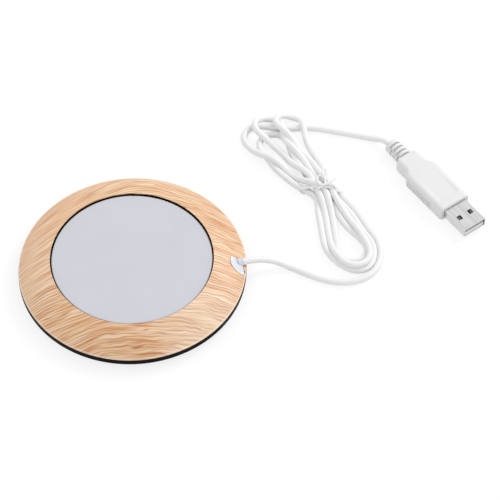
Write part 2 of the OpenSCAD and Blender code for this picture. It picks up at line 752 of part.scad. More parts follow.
// Folded steel shell with two windows in each wide face
module plug_shell() {
    color(steel_tone) in_plug() difference() {
        translate([-shell_grip, 0, 0]) round_bar(shell_grip + shell_l, shell_w, shell_h, shell_bend);
        translate([-shell_grip - 1, 0, 0])
            round_bar(shell_grip + shell_l + 2, shell_w - 2 * shell_t, shell_h - 2 * shell_t,
                shell_bend - shell_t);
        for (side = [-1, 1]) translate([window_x, side * window_y, 0])
            cube([window_l, window_w, 2 * shell_h], center = true);
        translate([-shell_grip - 1, -0.05, -shell_h]) cube([shell_grip + shell_l + 2, 0.1, shell_h]);
    }
}

// Insulating tongue with a groove for each contact
module plug_tongue() {
    width = shell_w - 2 * shell_t - 2 * tongue_side;
    color([0.95, 0.95, 0.93]) in_plug() difference() {
        translate([-shell_grip, -width / 2, tongue_z]) cube([shell_grip + shell_l - tongue_gap, width, tongue_t]);
        for (y = contact_y) translate([-shell_grip - 1, y - contact_w / 2, tongue_z + tongue_t - contact_t])
            cube([shell_grip + shell_l - tongue_gap - 0.8, contact_w, 1]);
    }
}

// Four plated contacts, the outer two longer
module plug_contacts() {
    color([0.85, 0.68, 0.3]) in_plug() for (i = [0:3]) {
        short = (i == 1 || i == 2) ? 1.2 : 0;
        translate([-shell_grip - 3, contact_y[i] - contact_w / 2, tongue_z + tongue_t - contact_t])
            cube([shell_grip + shell_l - tongue_gap + 1.2 - short, contact_w, contact_t]);
    }
}

ring_board();
wood_film();
heating_plate();
heater_film();
heater_track();
solder_pads();
thermal_fuse();
insulation_pad();
base_tray();
base_screws();
foot_ring();
cord_outlet();
cord_clamp();
clamp_screws();
cord_inner_end();
red_lead();
black_lead();
cord_lead();
cord_hank();
cord_tail();
cord_tie();
plug_mould();
plug_inner_mould();
plug_shell();
plug_tongue();
plug_contacts();
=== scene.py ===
# %% [markdown]
# # An electric mug warmer, dressed in Blender
# A mug warmer of this kind is a thin round disc: a heating plate in a wood-grain ring, and a white cord
# with a small flat plug, sold folded into a tied hank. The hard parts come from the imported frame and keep
# their shapes. This script gives them finishes, and makes the parts that a solid modeller can't make
# well: the limp cord, its tie, and the soft-edged plug. Blender works in metres, so sizes in millimetres
# are multiplied by MM.

# %% The frame and its size
import math
import bmesh
import bpy
import numpy as np
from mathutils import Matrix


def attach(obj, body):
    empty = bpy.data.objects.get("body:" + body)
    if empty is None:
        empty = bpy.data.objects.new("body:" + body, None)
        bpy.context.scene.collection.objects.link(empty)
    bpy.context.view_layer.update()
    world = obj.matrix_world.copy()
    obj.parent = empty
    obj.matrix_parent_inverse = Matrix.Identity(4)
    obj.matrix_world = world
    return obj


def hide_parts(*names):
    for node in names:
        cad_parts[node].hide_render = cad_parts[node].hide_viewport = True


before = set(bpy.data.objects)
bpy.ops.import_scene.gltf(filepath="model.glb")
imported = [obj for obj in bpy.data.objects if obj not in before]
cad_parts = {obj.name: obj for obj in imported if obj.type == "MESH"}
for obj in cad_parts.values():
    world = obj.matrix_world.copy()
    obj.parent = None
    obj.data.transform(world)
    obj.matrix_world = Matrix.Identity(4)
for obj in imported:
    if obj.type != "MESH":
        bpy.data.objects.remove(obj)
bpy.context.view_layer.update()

MM = 0.001

# %% [markdown]
# ## Camera
# A small thing looks truest from far away through a long lens, where circles look like plain ellipses. So
# the camera has a lens of 180 mm, and looks down at the disc from about a metre away.

# %% Camera
LENS, SENSOR = 180, 36
CAMERA_AT = (0.05153, -0.66193, 0.88045)
CAMERA_TILT = math.radians(37.524)
camera_data = bpy.data.cameras.new("camera")
camera_data.sensor_width = SENSOR
camera_data.lens = LENS
camera_data.clip_start = 0.01
camera = bpy.data.objects.new("camera", camera_data)
camera.location = CAMERA_AT
camera.rotation_euler = (CAMERA_TILT, 0, 0)
bpy.context.scene.collection.objects.link(camera)
bpy.context.scene.camera = camera
print("camera: lens", LENS, "mm, tilted", round(math.degrees(CAMERA_TILT), 1), "degrees from straight down")

# %% [markdown]
# ## Meshes from rings
# Cords, wires and mouldings are all skins over a row of rings. A curve with a bevel could make a cord
# too, but not a moulding whose section changes. So one helper carries a frame along a path without
# twisting it, one lays a round outline at each point of the path, and one joins any rings into a closed
# mesh. The result is a plain mesh with its place in its vertices.


# %% Frames and rings along a path
def unit(v):
    """Vectors of the same direction and of length 1."""
    return v / np.linalg.norm(v, axis=-1, keepdims=True)


def frames_along(path):
    """Side and up vectors at each point of a path, turned as little as possible from one to the next."""
    tangents = unit(np.gradient(path, axis=0))
    first = np.cross(tangents[0], [0, 0, 1.0])
    # A path that starts straight up takes its first side from X instead
    if np.linalg.norm(first) < 0.1:
        first = np.cross(tangents[0], [1.0, 0, 0])
    sides = [unit(first)]
    for tangent in tangents[1:]:
        sides.append(unit(sides[-1] - tangent * (sides[-1] @ tangent)))
    sides = np.array(sides)
    return sides, np.cross(sides, tangents)


def rings_along(path, radii, count):
    """Round rings of the given radii along a path, as an array (points, count, 3)."""
    sides, ups = frames_along(path)
    turn = np.linspace(0, 2 * np.pi, count, endpoint=False)
    spokes = np.cos(turn)[None, :, None] * sides[:, None] + np.sin(turn)[None, :, None] * ups[:, None]
    return path[:, None] + np.broadcast_to(radii, len(path))[:, None, None] * spokes


# %% A skin over the rings
def new_object(name, mesh, finish_used=None):
    """An object at the origin with this mesh, in the scene."""
    piece = bpy.data.objects.new(name, mesh)
    bpy.context.scene.collection.objects.link(piece)
    if finish_used:
        mesh.materials.append(finish_used)
    return piece


def skin(name, rings, finish_used, closed=False, sharp=None):
    """A mesh over rings of points in mm: open rows get a cap at each end, closed ones meet their start."""
    rows, count = rings.shape[:2]
    faces = []
    for row in range(rows if closed else rows - 1):
        after = (row + 1) % rows
        for k in range(count):
            beside = (k + 1) % count
            faces.append((row * count + k, row * count + beside, after * count + beside, after * count + k))
    if not closed:
        faces.append(tuple(range(count - 1, -1, -1)))
        faces.append(tuple((rows - 1) * count + k for k in range(count)))
    mesh = bpy.data.meshes.new(name)
    mesh.from_pydata((rings.reshape(-1, 3) * MM).tolist(), [], faces)
    # A negative volume means that the faces point inwards
    closed_shell = bmesh.new()
    closed_shell.from_mesh(mesh)
    if closed_shell.calc_volume(signed=True) < 0:
        bmesh.ops.reverse_faces(closed_shell, faces=closed_shell.faces)
    closed_shell.to_mesh(mesh)
    closed_shell.free()
    mesh.shade_smooth()
    if sharp:
        mesh.set_sharp_from_angle(angle=math.radians(sharp))
    return new_object(name, mesh, finish_used)


# %% [markdown]
# ## The cord's route
# The lead leaves the outlet, comes down to the table, and is folded back and forth into a hank of seven
# strands. The strands lie in two layers where the tie holds them and spread into flat loops at both
# ends. Then the tail runs to the plug. The points below are the centre line in millimetres, in the order
# in which the cord passes them. Two numbers are a point on the table, three have their own height. They
# are given one by one, because no rule gives the way in which somebody folded a cord.

# %% Where the plug, the waist of the hank and its tie lie
CORD_D = 3.0
REST_Z = CORD_D / 2


def heading(angle):
    """The direction at an angle from X on the table, and the one to its left."""
    return np.array([math.cos(angle), math.sin(angle)]), np.array([-math.sin(angle), math.cos(angle)])


# The plug's front face, and the distance from there to the end of its strain relief
PLUG_PLACE = np.array([143.2, 35, 4.0])
PLUG_ANGLE = math.radians(-53.5)
RELIEF_END = 46.0
plug_along, plug_side = [np.array([*direction, 0]) for direction in heading(PLUG_ANGLE)]
plug_rear = PLUG_PLACE - plug_along * RELIEF_END

WAIST = np.array([83.5, 48.0])
WAIST_ANGLE = math.radians(-58)
along_waist, across_waist = heading(WAIST_ANGLE)
# The tie's band sits a little further along, and crosses the hank at a slant
BAND_T = 0.5
BAND_AHEAD = 2.8
BAND_ANGLE = math.radians(-98)
BAND_AT = WAIST + BAND_AHEAD * along_waist
band_along, band_across = heading(BAND_ANGLE)
print("plug: relief ends at", np.round(plug_rear, 1).tolist(), "and the tie is at",
      np.round(BAND_AT, 1).tolist())

# %% Route of the cord
lead = [(47.9, 1.2, 8.2), (49.8, 1.9, 8.2), (52, 2.6, 7.9), (57, 4.1, 6.5), (62, 4.9, 4.4), (67, 4.4, 2.6),
        (72, 2.2, 1.7), (78, -0.9, 1.6), (84, -3.4, 1.6), (89, -4.7, 1.6), (94, -4.7, 1.6)]
# The turns at the near end of the hank, by the lead, and at its far end, by the tail
near_turns = [
    [(100, -3.6), (105, -0.5), (107.8, 4.3), (108.8, 9.8), (107.8, 16), (105.3, 22.5), (101.5, 30.5),
     (97, 37.5), (93, 42.5)],
    [(90.5, 38.5, 4.2), (94.5, 31.5, 4.2), (98.5, 23.5, 4.2), (102.5, 16, 4.2), (104.5, 9, 4.2),
     (102.5, 3.5, 4.2), (98, 2, 4.2), (93.5, 4.5, 4), (89.5, 10, 3.6), (87.4, 17, 3.4), (86.3, 26, 3.6),
     (85.2, 35, 3.8)],
    [(93.6, 39.4), (97.8, 31.3), (102.1, 23.2), (105.2, 15.6), (106.2, 8.8), (104, 3.2), (99, 1.5),
     (93.5, 4.2), (88.5, 10.5), (85.2, 18.5), (83.6, 27.5), (82.4, 37)],
    [(91.3, 35.1), (95.4, 28.1), (99.5, 21.8), (102.8, 15.7), (103, 10.4), (100.2, 6.8), (95.6, 6.8),
     (91.6, 10.6), (89.3, 16.5), (88.6, 23), (88.5, 31, 1.8), (87, 38.5, 3.2)]]
far_turns = [
    [(83.5, 62), (80.4, 69), (77.2, 76, 2.8), (74.4, 82.3, 4.7), (71.4, 88.4, 4.6), (67.2, 91.6, 3.8),
     (63.8, 88, 4.2), (65.6, 81.5, 4.6), (70.6, 74.5, 4.3), (75.5, 67, 4.3), (79.3, 61, 4.2)],
    [(78, 55.5, 4.1), (73.5, 61, 4.1), (67.5, 67.5, 4.1), (61.6, 74.4, 4.2), (56.2, 80.6, 4.5),
     (54.6, 87.4, 3.6), (58.6, 90.6, 3), (62.6, 87, 4.2), (65, 80, 4.5), (68.8, 73, 4.3), (73.4, 66.5, 4.1),
     (78.2, 60.5, 2.9)],
    [(76.4, 46.4, 1.9), (72.9, 49.3), (68.4, 54), (63.9, 59.8), (60.7, 65.1), (57.8, 69.8), (56.2, 74.4),
     (57, 78.6), (60.4, 80.6), (64.6, 79), (68.2, 74), (71.6, 67), (75.8, 60)],
    [(77.6, 49.4, 4.4), (72.7, 54.4, 4.2), (67.6, 58.7, 4.2), (61.5, 63.2, 4.5), (57, 67.2, 3.6),
     (52.4, 72.6, 1.8), (48.8, 77.6), (48.6, 82.2), (51.8, 84.4), (56, 84.5), (61.5, 84.7), (66.5, 84.6),
     (71, 84.4)]]
tail = [(76, 84.2, 1.6), (81, 84.2, 1.6), (88, 82.4, 1.6), (95, 80.9, 1.7), (102, 79.3, 2),
        (107.5, 77.8, 2.5), (111.8, 75.7, 3.3)]
# Place of each strand under the tie, in the order of its passes: distance across the hank, and height
lanes = [(4.5, 2.0), (3, 4.6), (-3, 4.6), (1.5, 2.0), (-4.5, 2.0), (-1.5, 2.0), (0, 4.6)]
# The cord runs straight for this far before it meets the strain relief
STRAIGHT_IN = 1.5

route = list(lead)
turns = [turn for pair in zip(near_turns, far_turns) for turn in pair]
for i, turn in enumerate(turns):
    route += [point if len(point) == 3 else (*point, REST_Z) for point in turn]
    if i < len(lanes):
        route.append((*(BAND_AT + lanes[i][0] * across_waist), lanes[i][1]))
route += tail + [tuple(plug_rear - STRAIGHT_IN * plug_along), tuple(plug_rear)]
route = np.array(route, float)
print("cord:", len(route), "points in the route,", len(lanes), "strands under the tie")

# %% [markdown]
# A smooth line through the points comes from centripetal Catmull-Rom pieces, which don't overshoot where
# points are close together. It is then cut into equal steps, so that every link of the cord weighs the
# same.


# %% A smooth line through points
def smooth_line(points, step):
    """Evenly spaced points on a smooth curve through the given ones."""
    cuts_per_piece = 12
    p = np.vstack([2 * points[0] - points[1], points, 2 * points[-1] - points[-2]])
    line = []
    for i in range(1, len(p) - 2):
        p0, p1, p2, p3 = p[i - 1:i + 3]
        t1 = np.linalg.norm(p1 - p0) ** 0.5
        t2 = t1 + np.linalg.norm(p2 - p1) ** 0.5
        t3 = t2 + np.linalg.norm(p3 - p2) ** 0.5
        t = np.linspace(t1, t2, cuts_per_piece, endpoint=False)[:, None]
        a1 = (t1 - t) / t1 * p0 + t / t1 * p1
        a2 = (t2 - t) / (t2 - t1) * p1 + (t - t1) / (t2 - t1) * p2
        a3 = (t3 - t) / (t3 - t2) * p2 + (t - t2) / (t3 - t2) * p3
        b1 = (t2 - t) / t2 * a1 + t / t2 * a2
        b2 = (t3 - t) / (t3 - t1) * a2 + (t - t1) / (t3 - t1) * a3
        line.append((t2 - t) / (t2 - t1) * b1 + (t - t1) / (t2 - t1) * b2)
    line = np.vstack(line + [points[-1:]])
    reach = np.r_[0, np.cumsum(np.linalg.norm(np.diff(line, axis=0), axis=1))]
    even = np.linspace(0, reach[-1], int(round(reach[-1] / step)) + 1)
    return np.stack([np.interp(even, reach, line[:, axis]) for axis in range(3)], axis=1)


# %% [markdown]
# ## Letting the cord settle
# A cord that is only drawn cuts through itself where it crosses. So it is settled as a chain of links, a
# few hundred small steps long: each link keeps its length, has some stiffness and a least bend, feels its
# weight, is pushed out of the table and out of any other strand, and is drawn gently back to the route,
# and firmly where the tie holds it. Blender's soft bodies could do this too, but they need a bake of many
# frames and are hard to hold to a route. A chain in numpy takes two seconds and gives the same answer
# every time. All lengths are in millimetres, and each pull is a share of the way to go.

# %% What acts on a single strand
STIFFNESS = 0.35
LEAST_BEND, BEND_PUSH = 7.2, 0.32
LENGTH_ROUNDS = 3


def stiffen(links, move):
    """Evens out the bending: a link that bends more than its neighbours gives way."""
    for k in (2, 1):
        bow = np.zeros_like(links)
        bow[k:-k] = (links[2 * k:] + links[:-2 * k]) / 2 - links[k:-k]
        uneven = np.zeros_like(links)
        uneven[k:-k] = (bow[2 * k:] + bow[:-2 * k]) / 2 - bow[k:-k]
        links -= STIFFNESS / 2 * move * uneven


def open_bends(links, move, step):
    """Pushes links apart that are nearer to each other than they would be on an arc of the least bend."""
    for k in (2, 4, 6):
        want = 2 * LEAST_BEND * math.sin(k * step / LEAST_BEND)
        chord = links[2 * k:] - links[:-2 * k]
        size = np.linalg.norm(chord, axis=1)[:, None]
        push = np.where(size < want, BEND_PUSH * (want - size) / size * chord, 0)
        links[2 * k:] += move[2 * k:] * push
        links[:-2 * k] -= move[:-2 * k] * push


def keep_lengths(links, move, step):
    """Gives each link its length again: first every other one, then those between."""
    for odd in (0, 1) * LENGTH_ROUNDS:
        a = np.arange(odd, len(links) - 1, 2)
        gap = links[a + 1] - links[a]
        size = np.linalg.norm(gap, axis=1)[:, None]
        mend = (size - step) / size * gap / 2
        links[a] += mend * move[a]
        links[a + 1] -= mend * move[a + 1]


# %% What the table, the tie and the other strands do
# The tie acts on strands within TIE_HALF of the hank's middle, and its pull fades over TIE_REACH
TIE_HALF = 10.0
TIE_PULL, TIE_REACH = 0.3, 4.0
# The band lifts them by its thickness for this far to each side, and then over a slope of this length
BAND_FLAT, BAND_SLOPE = 2.0, 6.0
NEAR = 1.6 * CORD_D
# Links that are nearer than this along the cord are neighbours, and never count as two strands
LEAST_APART = 2.2 * CORD_D
CONTACT_PUSH = 1.1


def table_height(links):
    """Height that a link's centre can't go below: the table, or the tie where it passes under the hank."""
    off = links[:, :2] - BAND_AT
    near = np.clip(1 - (np.abs(off @ band_along) - BAND_FLAT) / BAND_SLOPE, 0, 1)
    near = near * (np.abs(off @ band_across) < TIE_HALF)
    return REST_Z + BAND_T * near * near * (3 - 2 * near)


def tie_pull(start):
    """How firmly the tie draws each link to its lane: most under the band, and nothing away from it."""
    off = start[:, :2] - BAND_AT
    within = np.abs(off @ across_waist) < TIE_HALF
    return TIE_PULL * np.exp(-(off @ along_waist / TIE_REACH) ** 2) * within


def near_pairs(links, apart):
    """Pairs of links that may touch, at least this many links apart along the cord."""
    squares = ((links[:, None] - links[None]) ** 2).sum(2)
    return np.where(np.triu(squares < NEAR ** 2, apart))


def push_apart(links, move, pairs):
    """Strands that overlap push each other out by as much."""
    first, second = pairs
    gap = links[first] - links[second]
    size = np.linalg.norm(gap, axis=1)
    deep = size < CORD_D
    i, j = first[deep], second[deep]
    push = ((CORD_D - size[deep]) / np.maximum(size[deep], 1e-6))[:, None] * gap[deep] / 2
    total, hits = np.zeros_like(links), np.zeros(len(links))
    np.add.at(total, i, push)
    np.add.at(total, j, -push)
    np.add.at(hits, i, 1)
    np.add.at(hits, j, 1)
    links += CONTACT_PUSH * move * total / np.maximum(hits, 1)[:, None]


# %% The settled cord
LINK = 1.25
ROUNDS, ROUNDS_PER_SEARCH = 700, 8
HELD_FIRST, HELD_LAST = 15, 5
HOME_PULL, WEIGHT = 0.015, 0.02


def settle(start):
    """The chain after it has come to rest; its first links, by the outlet, and its last ones are held."""
    links = start.copy()
    step = np.linalg.norm(np.diff(links, axis=0), axis=1).mean()
    apart = int(math.ceil(LEAST_APART / step))
    free = np.ones(len(links))
    free[:HELD_FIRST] = free[-HELD_LAST:] = 0
    move = free[:, None]
    tied = tie_pull(start) * free
    for turn in range(ROUNDS):
        links[:, :2] += (HOME_PULL * move + tied[:, None]) * (start[:, :2] - links[:, :2])
        links[:, 2] += tied * (start[:, 2] - links[:, 2]) - WEIGHT * free
        stiffen(links, move)
        open_bends(links, move, step)
        keep_lengths(links, move, step)
        if turn % ROUNDS_PER_SEARCH == 0:
            pairs = near_pairs(links, apart)
        push_apart(links, move, pairs)
        links[:, 2] = np.where(free > 0, np.maximum(links[:, 2], table_height(links)), links[:, 2])
    return links


centre_line = settle(smooth_line(route, LINK))
# A last light smoothing takes out the jitter of the contacts
LAST_ROUNDS, LAST_SHARE = 4, 0.25
for _ in range(LAST_ROUNDS):
    centre_line[1:-1] += LAST_SHARE * (centre_line[2:] + centre_line[:-2] - 2 * centre_line[1:-1])

# %% [markdown]
# ## Finishes: the tools
# Every finish is a small node tree round one Principled shader. The colours are written as sRGB hex
# values, as a paint chart gives them, and one function turns them to the linear numbers that Blender
# wants. One small function adds any node, sets it and links it: where an input is given a whole node, its
# first output is used. `finish` starts a material, and hands back its tree, its shader and the object's
# own coordinates in millimetres, so that each pattern can be drawn at its real size.


# %% Colours, nodes and the start of a finish
def colour(hex_code):
    """Linear RGBA of an sRGB hex colour."""
    parts = [int(hex_code[k:k + 2], 16) / 255 for k in (1, 3, 5)]
    return (*[c / 12.92 if c <= 0.04045 else ((c + 0.055) / 1.055) ** 2.4 for c in parts], 1)


def feed(node, inputs):
    """Gives a node's inputs plain values, sockets, or nodes, whose first output in use is linked."""
    for key, value in inputs.items():
        if isinstance(value, bpy.types.Node):
            value = next(output for output in value.outputs if output.enabled)
        if isinstance(value, bpy.types.NodeSocket):
            node.id_data.links.new(value, node.inputs[key])
        else:
            node.inputs[key].default_value = value


def add(tree, kind, settings=None, inputs=None):
    """Adds a node of any kind to a tree, with its settings, and feeds its inputs."""
    node = tree.nodes.new(kind)
    for key, value in (settings or {}).items():
        setattr(node, key, value)
    feed(node, inputs or {})
    return node


def finish(name, **shader_values):
    """A new material with its shader set, and coordinates in mm: (material, tree, shader, mm)."""
    material = bpy.data.materials.new(name)
    material.use_nodes = True
    tree = material.node_tree
    tree.nodes.clear()
    shader = add(tree, "ShaderNodeBsdfPrincipled")
    feed(shader, {key.replace("_", " ").title().replace("Ior", "IOR"): value
                  for key, value in shader_values.items()})
    add(tree, "ShaderNodeOutputMaterial", inputs={"Surface": shader})
    place = add(tree, "ShaderNodeTexCoord").outputs["Object"]
    mm = add(tree, "ShaderNodeVectorMath", {"operation": "SCALE"}, {0: place, "Scale": 1 / MM})
    return material, tree, shader, mm


# %% [markdown]
# Many small parts are moulded, cast or rolled, and their finish is the same idea with other numbers: a
# colour that drifts a little, a roughness that drifts with it, and a fine relief. One colour alone would
# look like a drawing, and an image would show its edges, so two layers of noise do it. `grain` is the
# size of the relief's bumps and `patch` the size of the drifting patches, both in millimetres, and
# `relief` is the height of a bump.


# %% A finish for small plain parts
def plain_finish(name, light, dark, grain, relief, patch=6.0, rough=(0.4, 0.5), **shader_values):
    """A finish between two close colours and two roughnesses, over a fine relief."""
    material, tree, shader, mm = finish(name, **shader_values)
    drift = add(tree, "ShaderNodeTexNoise", inputs={"Vector": mm, "Scale": 1 / patch, "Detail": 2.0})
    tone = add(tree, "ShaderNodeMix", {"data_type": "RGBA"},
               {0: drift, "A": colour(dark), "B": colour(light)})
    polish = add(tree, "ShaderNodeMapRange", inputs={"Value": drift, "From Min": 0.3, "From Max": 0.7,
                                                     "To Min": rough[0], "To Max": rough[1]})
    bumps = add(tree, "ShaderNodeTexNoise", inputs={"Vector": mm, "Scale": 1 / grain, "Detail": 3.0})
    bump = add(tree, "ShaderNodeBump", inputs={"Height": bumps, "Strength": 0.6, "Distance": relief * MM})
    feed(shader, {"Base Color": tone, "Roughness": polish, "Normal": bump})
    return material


# %% [markdown]
# ## Finish of the cord
# The jacket is soft white PVC, pulled through a die. That leaves it satin, with faint lines along its
# length, and the two twisted leads inside press a slow spiral into it. Coordinates in space would cut
# across a cord that bends, so the pattern follows a UV map on the tube: one step round the cord, and its
# length in centimetres.

# %% White PVC jacket
LEAD_TWISTS_PER_CM = 0.55
jacket, tree, shader, mm = finish("white_pvc_jacket", roughness=0.38, ior=1.53)
uv = add(tree, "ShaderNodeUVMap", {"uv_map": "along_cord"})
drawn = add(tree, "ShaderNodeMapping", inputs={"Vector": uv, "Scale": (9, 0.6, 1)})
lines = add(tree, "ShaderNodeTexNoise", inputs={"Vector": drawn, "Scale": 1.0, "Detail": 2.0})
drift = add(tree, "ShaderNodeTexNoise", inputs={"Vector": mm, "Scale": 0.07, "Detail": 2.0})
tone = add(tree, "ShaderNodeMix", {"data_type": "RGBA"},
           {0: drift, "A": colour("#F1F1F3"), "B": colour("#F6F6F6")})
# Two leads make two low ridges a turn, so the sine goes round twice
along = add(tree, "ShaderNodeSeparateXYZ", inputs={"Vector": uv}).outputs
wound = add(tree, "ShaderNodeMath", {"operation": "MULTIPLY_ADD"},
            {0: along["Y"], 1: LEAD_TWISTS_PER_CM, 2: along["X"]})
spiral = add(tree, "ShaderNodeMath", {"operation": "MULTIPLY"}, {0: wound, 1: 4 * math.pi})
swell = add(tree, "ShaderNodeMath", {"operation": "SINE"}, {0: spiral})
height = add(tree, "ShaderNodeMath", {"operation": "MULTIPLY_ADD"}, {0: swell, 1: 0.35, 2: lines})
bump = add(tree, "ShaderNodeBump", inputs={"Height": height, "Strength": 0.5, "Distance": 0.05 * MM})
feed(shader, {"Base Color": tone, "Normal": bump})
print("finish:", jacket.name, "with", len(tree.nodes), "nodes")

# %% [markdown]
# ## The cord
# The real cord is one round jacket from the outlet to the plug. A bevelled curve would do as well, but
# its UV map can't be counted in centimetres, so the tube is skinned over the settled line and gets its
# map from the numbers of its vertices. The face that closes each ring would run the map backwards, so its
# low corners are moved on by one turn.

# %% The cord's tube
CORD_SIDES = 18
cord = skin("cord", rings_along(centre_line, CORD_D / 2, CORD_SIDES), jacket)
corner_vertex = np.zeros(len(cord.data.loops), int)
cord.data.loops.foreach_get("vertex_index", corner_vertex)
around = corner_vertex % CORD_SIDES / CORD_SIDES
lengthwise = corner_vertex // CORD_SIDES * LINK / 10
starts = [face.loop_start for face in cord.data.polygons]
face_span = np.maximum.reduceat(around, starts) - np.minimum.reduceat(around, starts)
wraps = np.repeat(face_span > 0.5, [face.loop_total for face in cord.data.polygons])
around = np.where(wraps & (around < 0.5), around + 1, around)
layer = cord.data.uv_layers.new(name="along_cord")
layer.data.foreach_set("uv", np.stack([around, lengthwise], axis=1).ravel())
print("cord:", len(cord.data.polygons), "faces")

# %% [markdown]
# ## The tie
# The hank is held by a plastic-covered wire: a flat band pulled tight round the seven strands, with its
# ends twisted on top into a small eye. A wrap with a modifier would sink into the strands or stand off
# them. So the band follows the outer line of the strands, which is the convex outline of seven ellipses.
# It is found by asking, for each direction, which strand reaches furthest that way.

# %% The strands under the band
# A strand counts within this distance of the middle of the hank
HANK_HALF = 14.0
off = centre_line[:, :2] - BAND_AT
ahead = off @ band_along
passes = np.where((ahead[1:] * ahead[:-1] <= 0) & (np.abs(off[1:] @ band_across) < HANK_HALF))[0]
share = ahead[passes] / (ahead[passes] - ahead[passes + 1])
strands = centre_line[passes] + share[:, None] * (centre_line[passes + 1] - centre_line[passes])
strand_at = np.stack([(strands[:, :2] - BAND_AT) @ band_across, strands[:, 2]], axis=1)
print("tie: round", len(strand_at), "strands at (across, height)", np.round(strand_at, 1).tolist())

# %% The line of the band round them
DIRECTIONS, BAND_POINTS, BAND_SMOOTHING = 144, 120, 3
# The band lies this far off the strands
BAND_GAP = 0.02
turn = np.linspace(0, 2 * np.pi, DIRECTIONS, endpoint=False)
look = np.stack([np.cos(turn), np.sin(turn)], axis=1)
furthest = strand_at[(look @ strand_at.T).argmax(axis=1)]
# A slanting band cuts each round strand in an ellipse, wider across than it is high
half_axes = (CORD_D / 2 + BAND_GAP) * np.array([1 / math.cos(BAND_ANGLE - WAIST_ANGLE), 1])
loop = furthest + half_axes ** 2 * look / np.linalg.norm(half_axes * look, axis=1, keepdims=True)
loop[:, 1] = np.maximum(loop[:, 1], BAND_T)
reach = np.r_[0, np.cumsum(np.linalg.norm(np.diff(np.vstack([loop, loop[:1]]), axis=0), axis=1))]
even = np.linspace(0, reach[-1], BAND_POINTS, endpoint=False)
loop = np.stack([np.interp(even, reach, np.r_[loop[:, k], loop[0, k]]) for k in range(2)], axis=1)
for _ in range(BAND_SMOOTHING):
    loop = (np.roll(loop, 1, axis=0) + 2 * loop + np.roll(loop, -1, axis=0)) / 4
outward = np.roll(loop, -1, axis=0) - np.roll(loop, 1, axis=0)
outward = unit(np.stack([outward[:, 1], -outward[:, 0]], axis=1))
top_z = float(loop[:, 1].max()) + BAND_T
print("band:", round(float(reach[-1]), 1), "mm round, top at", round(top_z, 2), "mm")

# %% The section of the band along that line
BAND_W = 2.2
# Nothing of the band goes lower than this, just over the table
LEAST_Z = 0.02
half_w = BAND_W / 2
# Place along the hank and height off the strands, with the wire under a low ridge in the middle
section = [(-half_w, 0.1), (-half_w + 0.1, 0), (half_w - 0.1, 0), (half_w, 0.1), (half_w, 0.22),
           (half_w - 0.12, 0.3), (0.45, 0.32), (0.25, 0.46), (0, BAND_T), (-0.25, 0.46), (-0.45, 0.32),
           (-half_w + 0.12, 0.3), (-half_w, 0.22)]
band_rings = []
for point, out in zip(loop, outward):
    ring = []
    for place, rise in section:
        across, height_z = point + out * rise
        ring.append([*(BAND_AT + band_along * place + band_across * across), max(height_z, LEAST_Z)])
    band_rings.append(ring)
band_rings = np.array(band_rings)
print("band:", len(band_rings), "rings of", len(section), "points")

# %% [markdown]
# The tie's film is thin glossy PVC over the wire, so it is whiter and shinier than the cord. The eye and
# the loose ends are thin round wires: each is a short list of points in the hank's own frame, smoothed
# and skinned like the cord.

# %% The eye and the loose ends
tie_film = plain_finish("white_pvc_tie", "#F6F6F6", "#EDEDED", grain=0.5, relief=0.02, rough=(0.25, 0.35),
                        ior=1.53)
WIRE_R, WIRE_SIDES = 0.5, 10
# The eye is an oval, turned a little, that stands on the band and rises towards one side
EYE_POINTS = 14
EYE_LONG, EYE_SHORT, EYE_TURN = 2.9, 1.7, math.radians(-11)
EYE_AHEAD, EYE_RISE, EYE_TIP = 0.2, 0.75, 0.25
EYE_STEP, END_STEP = 0.25, 0.3


def on_hank(x, y, z):
    """Point in mm from its place along and across the hank, and its height above the band."""
    return [*(WAIST + along_waist * x + across_waist * y), top_z + z]


eye = []
for a in np.linspace(0, 2 * np.pi, EYE_POINTS, endpoint=False):
    u, v = EYE_LONG * math.cos(a), EYE_SHORT * math.sin(a)
    eye.append(on_hank(EYE_AHEAD + u * math.cos(EYE_TURN) - v * math.sin(EYE_TURN),
                       u * math.sin(EYE_TURN) + v * math.cos(EYE_TURN), EYE_RISE + EYE_TIP * math.sin(a)))
# Each end: places along the hank, across it, and above the band
loose_ends = [
    [(2.6, -3.8, -0.3), (2.9, -1.8, 0.2), (3.0, 0.2, 0.5), (2.8, 2.4, 0.6), (2.4, 4.8, 0.3),
     (1.7, 7.3, -0.4)],
    [(1.4, 2.6, 0.2), (0.4, 2.3, 0.9), (-1.2, 2.2, 1.2), (-2.9, 2.6, 1.0), (-4.2, 3.6, 0.6),
     (-4.9, 4.6, 0.3), (-4.4, 5.4, 0.2), (-3, 4.8, 0.3), (-1.6, 3.6, 0.4)],
    [(3.0, 0.8, 0.3), (3.6, 2.0, 0.8), (4.6, 3.0, 0.6), (5.8, 3.6, 0.1), (7.1, 3.9, -0.6)]]
tie_parts = [skin("tie_band", band_rings, tie_film, closed=True)]
eye_path = smooth_line(np.array(eye + eye[:1]), EYE_STEP)[:-1]
tie_parts.append(skin("tie_eye", rings_along(eye_path, WIRE_R, WIRE_SIDES), tie_film, closed=True))
for points in loose_ends:
    path = smooth_line(np.array([on_hank(*point) for point in points]), END_STEP)
    # A cut end is a little rounded
    radii = np.full(len(path), WIRE_R)
    radii[[0, -1]] = 0.4 * WIRE_R
    radii[[1, -2]] = 0.8 * WIRE_R
    tie_parts.append(skin("tie_wire", rings_along(path, radii, WIRE_SIDES), tie_film))
print("tie:", len(tie_parts), "parts")


# %% Joining loose meshes into one piece
def join(name, objects, finish_used):
    """One object from several, all of them at the origin."""
    whole = bmesh.new()
    for part in objects:
        whole.from_mesh(part.data)
        bpy.data.objects.remove(part)
    mesh = bpy.data.meshes.new(name)
    whole.to_mesh(mesh)
    whole.free()
    return new_object(name, mesh, finish_used)


tie = join("tie", tie_parts, tie_film)
print("tie:", len(tie.data.polygons), "faces")

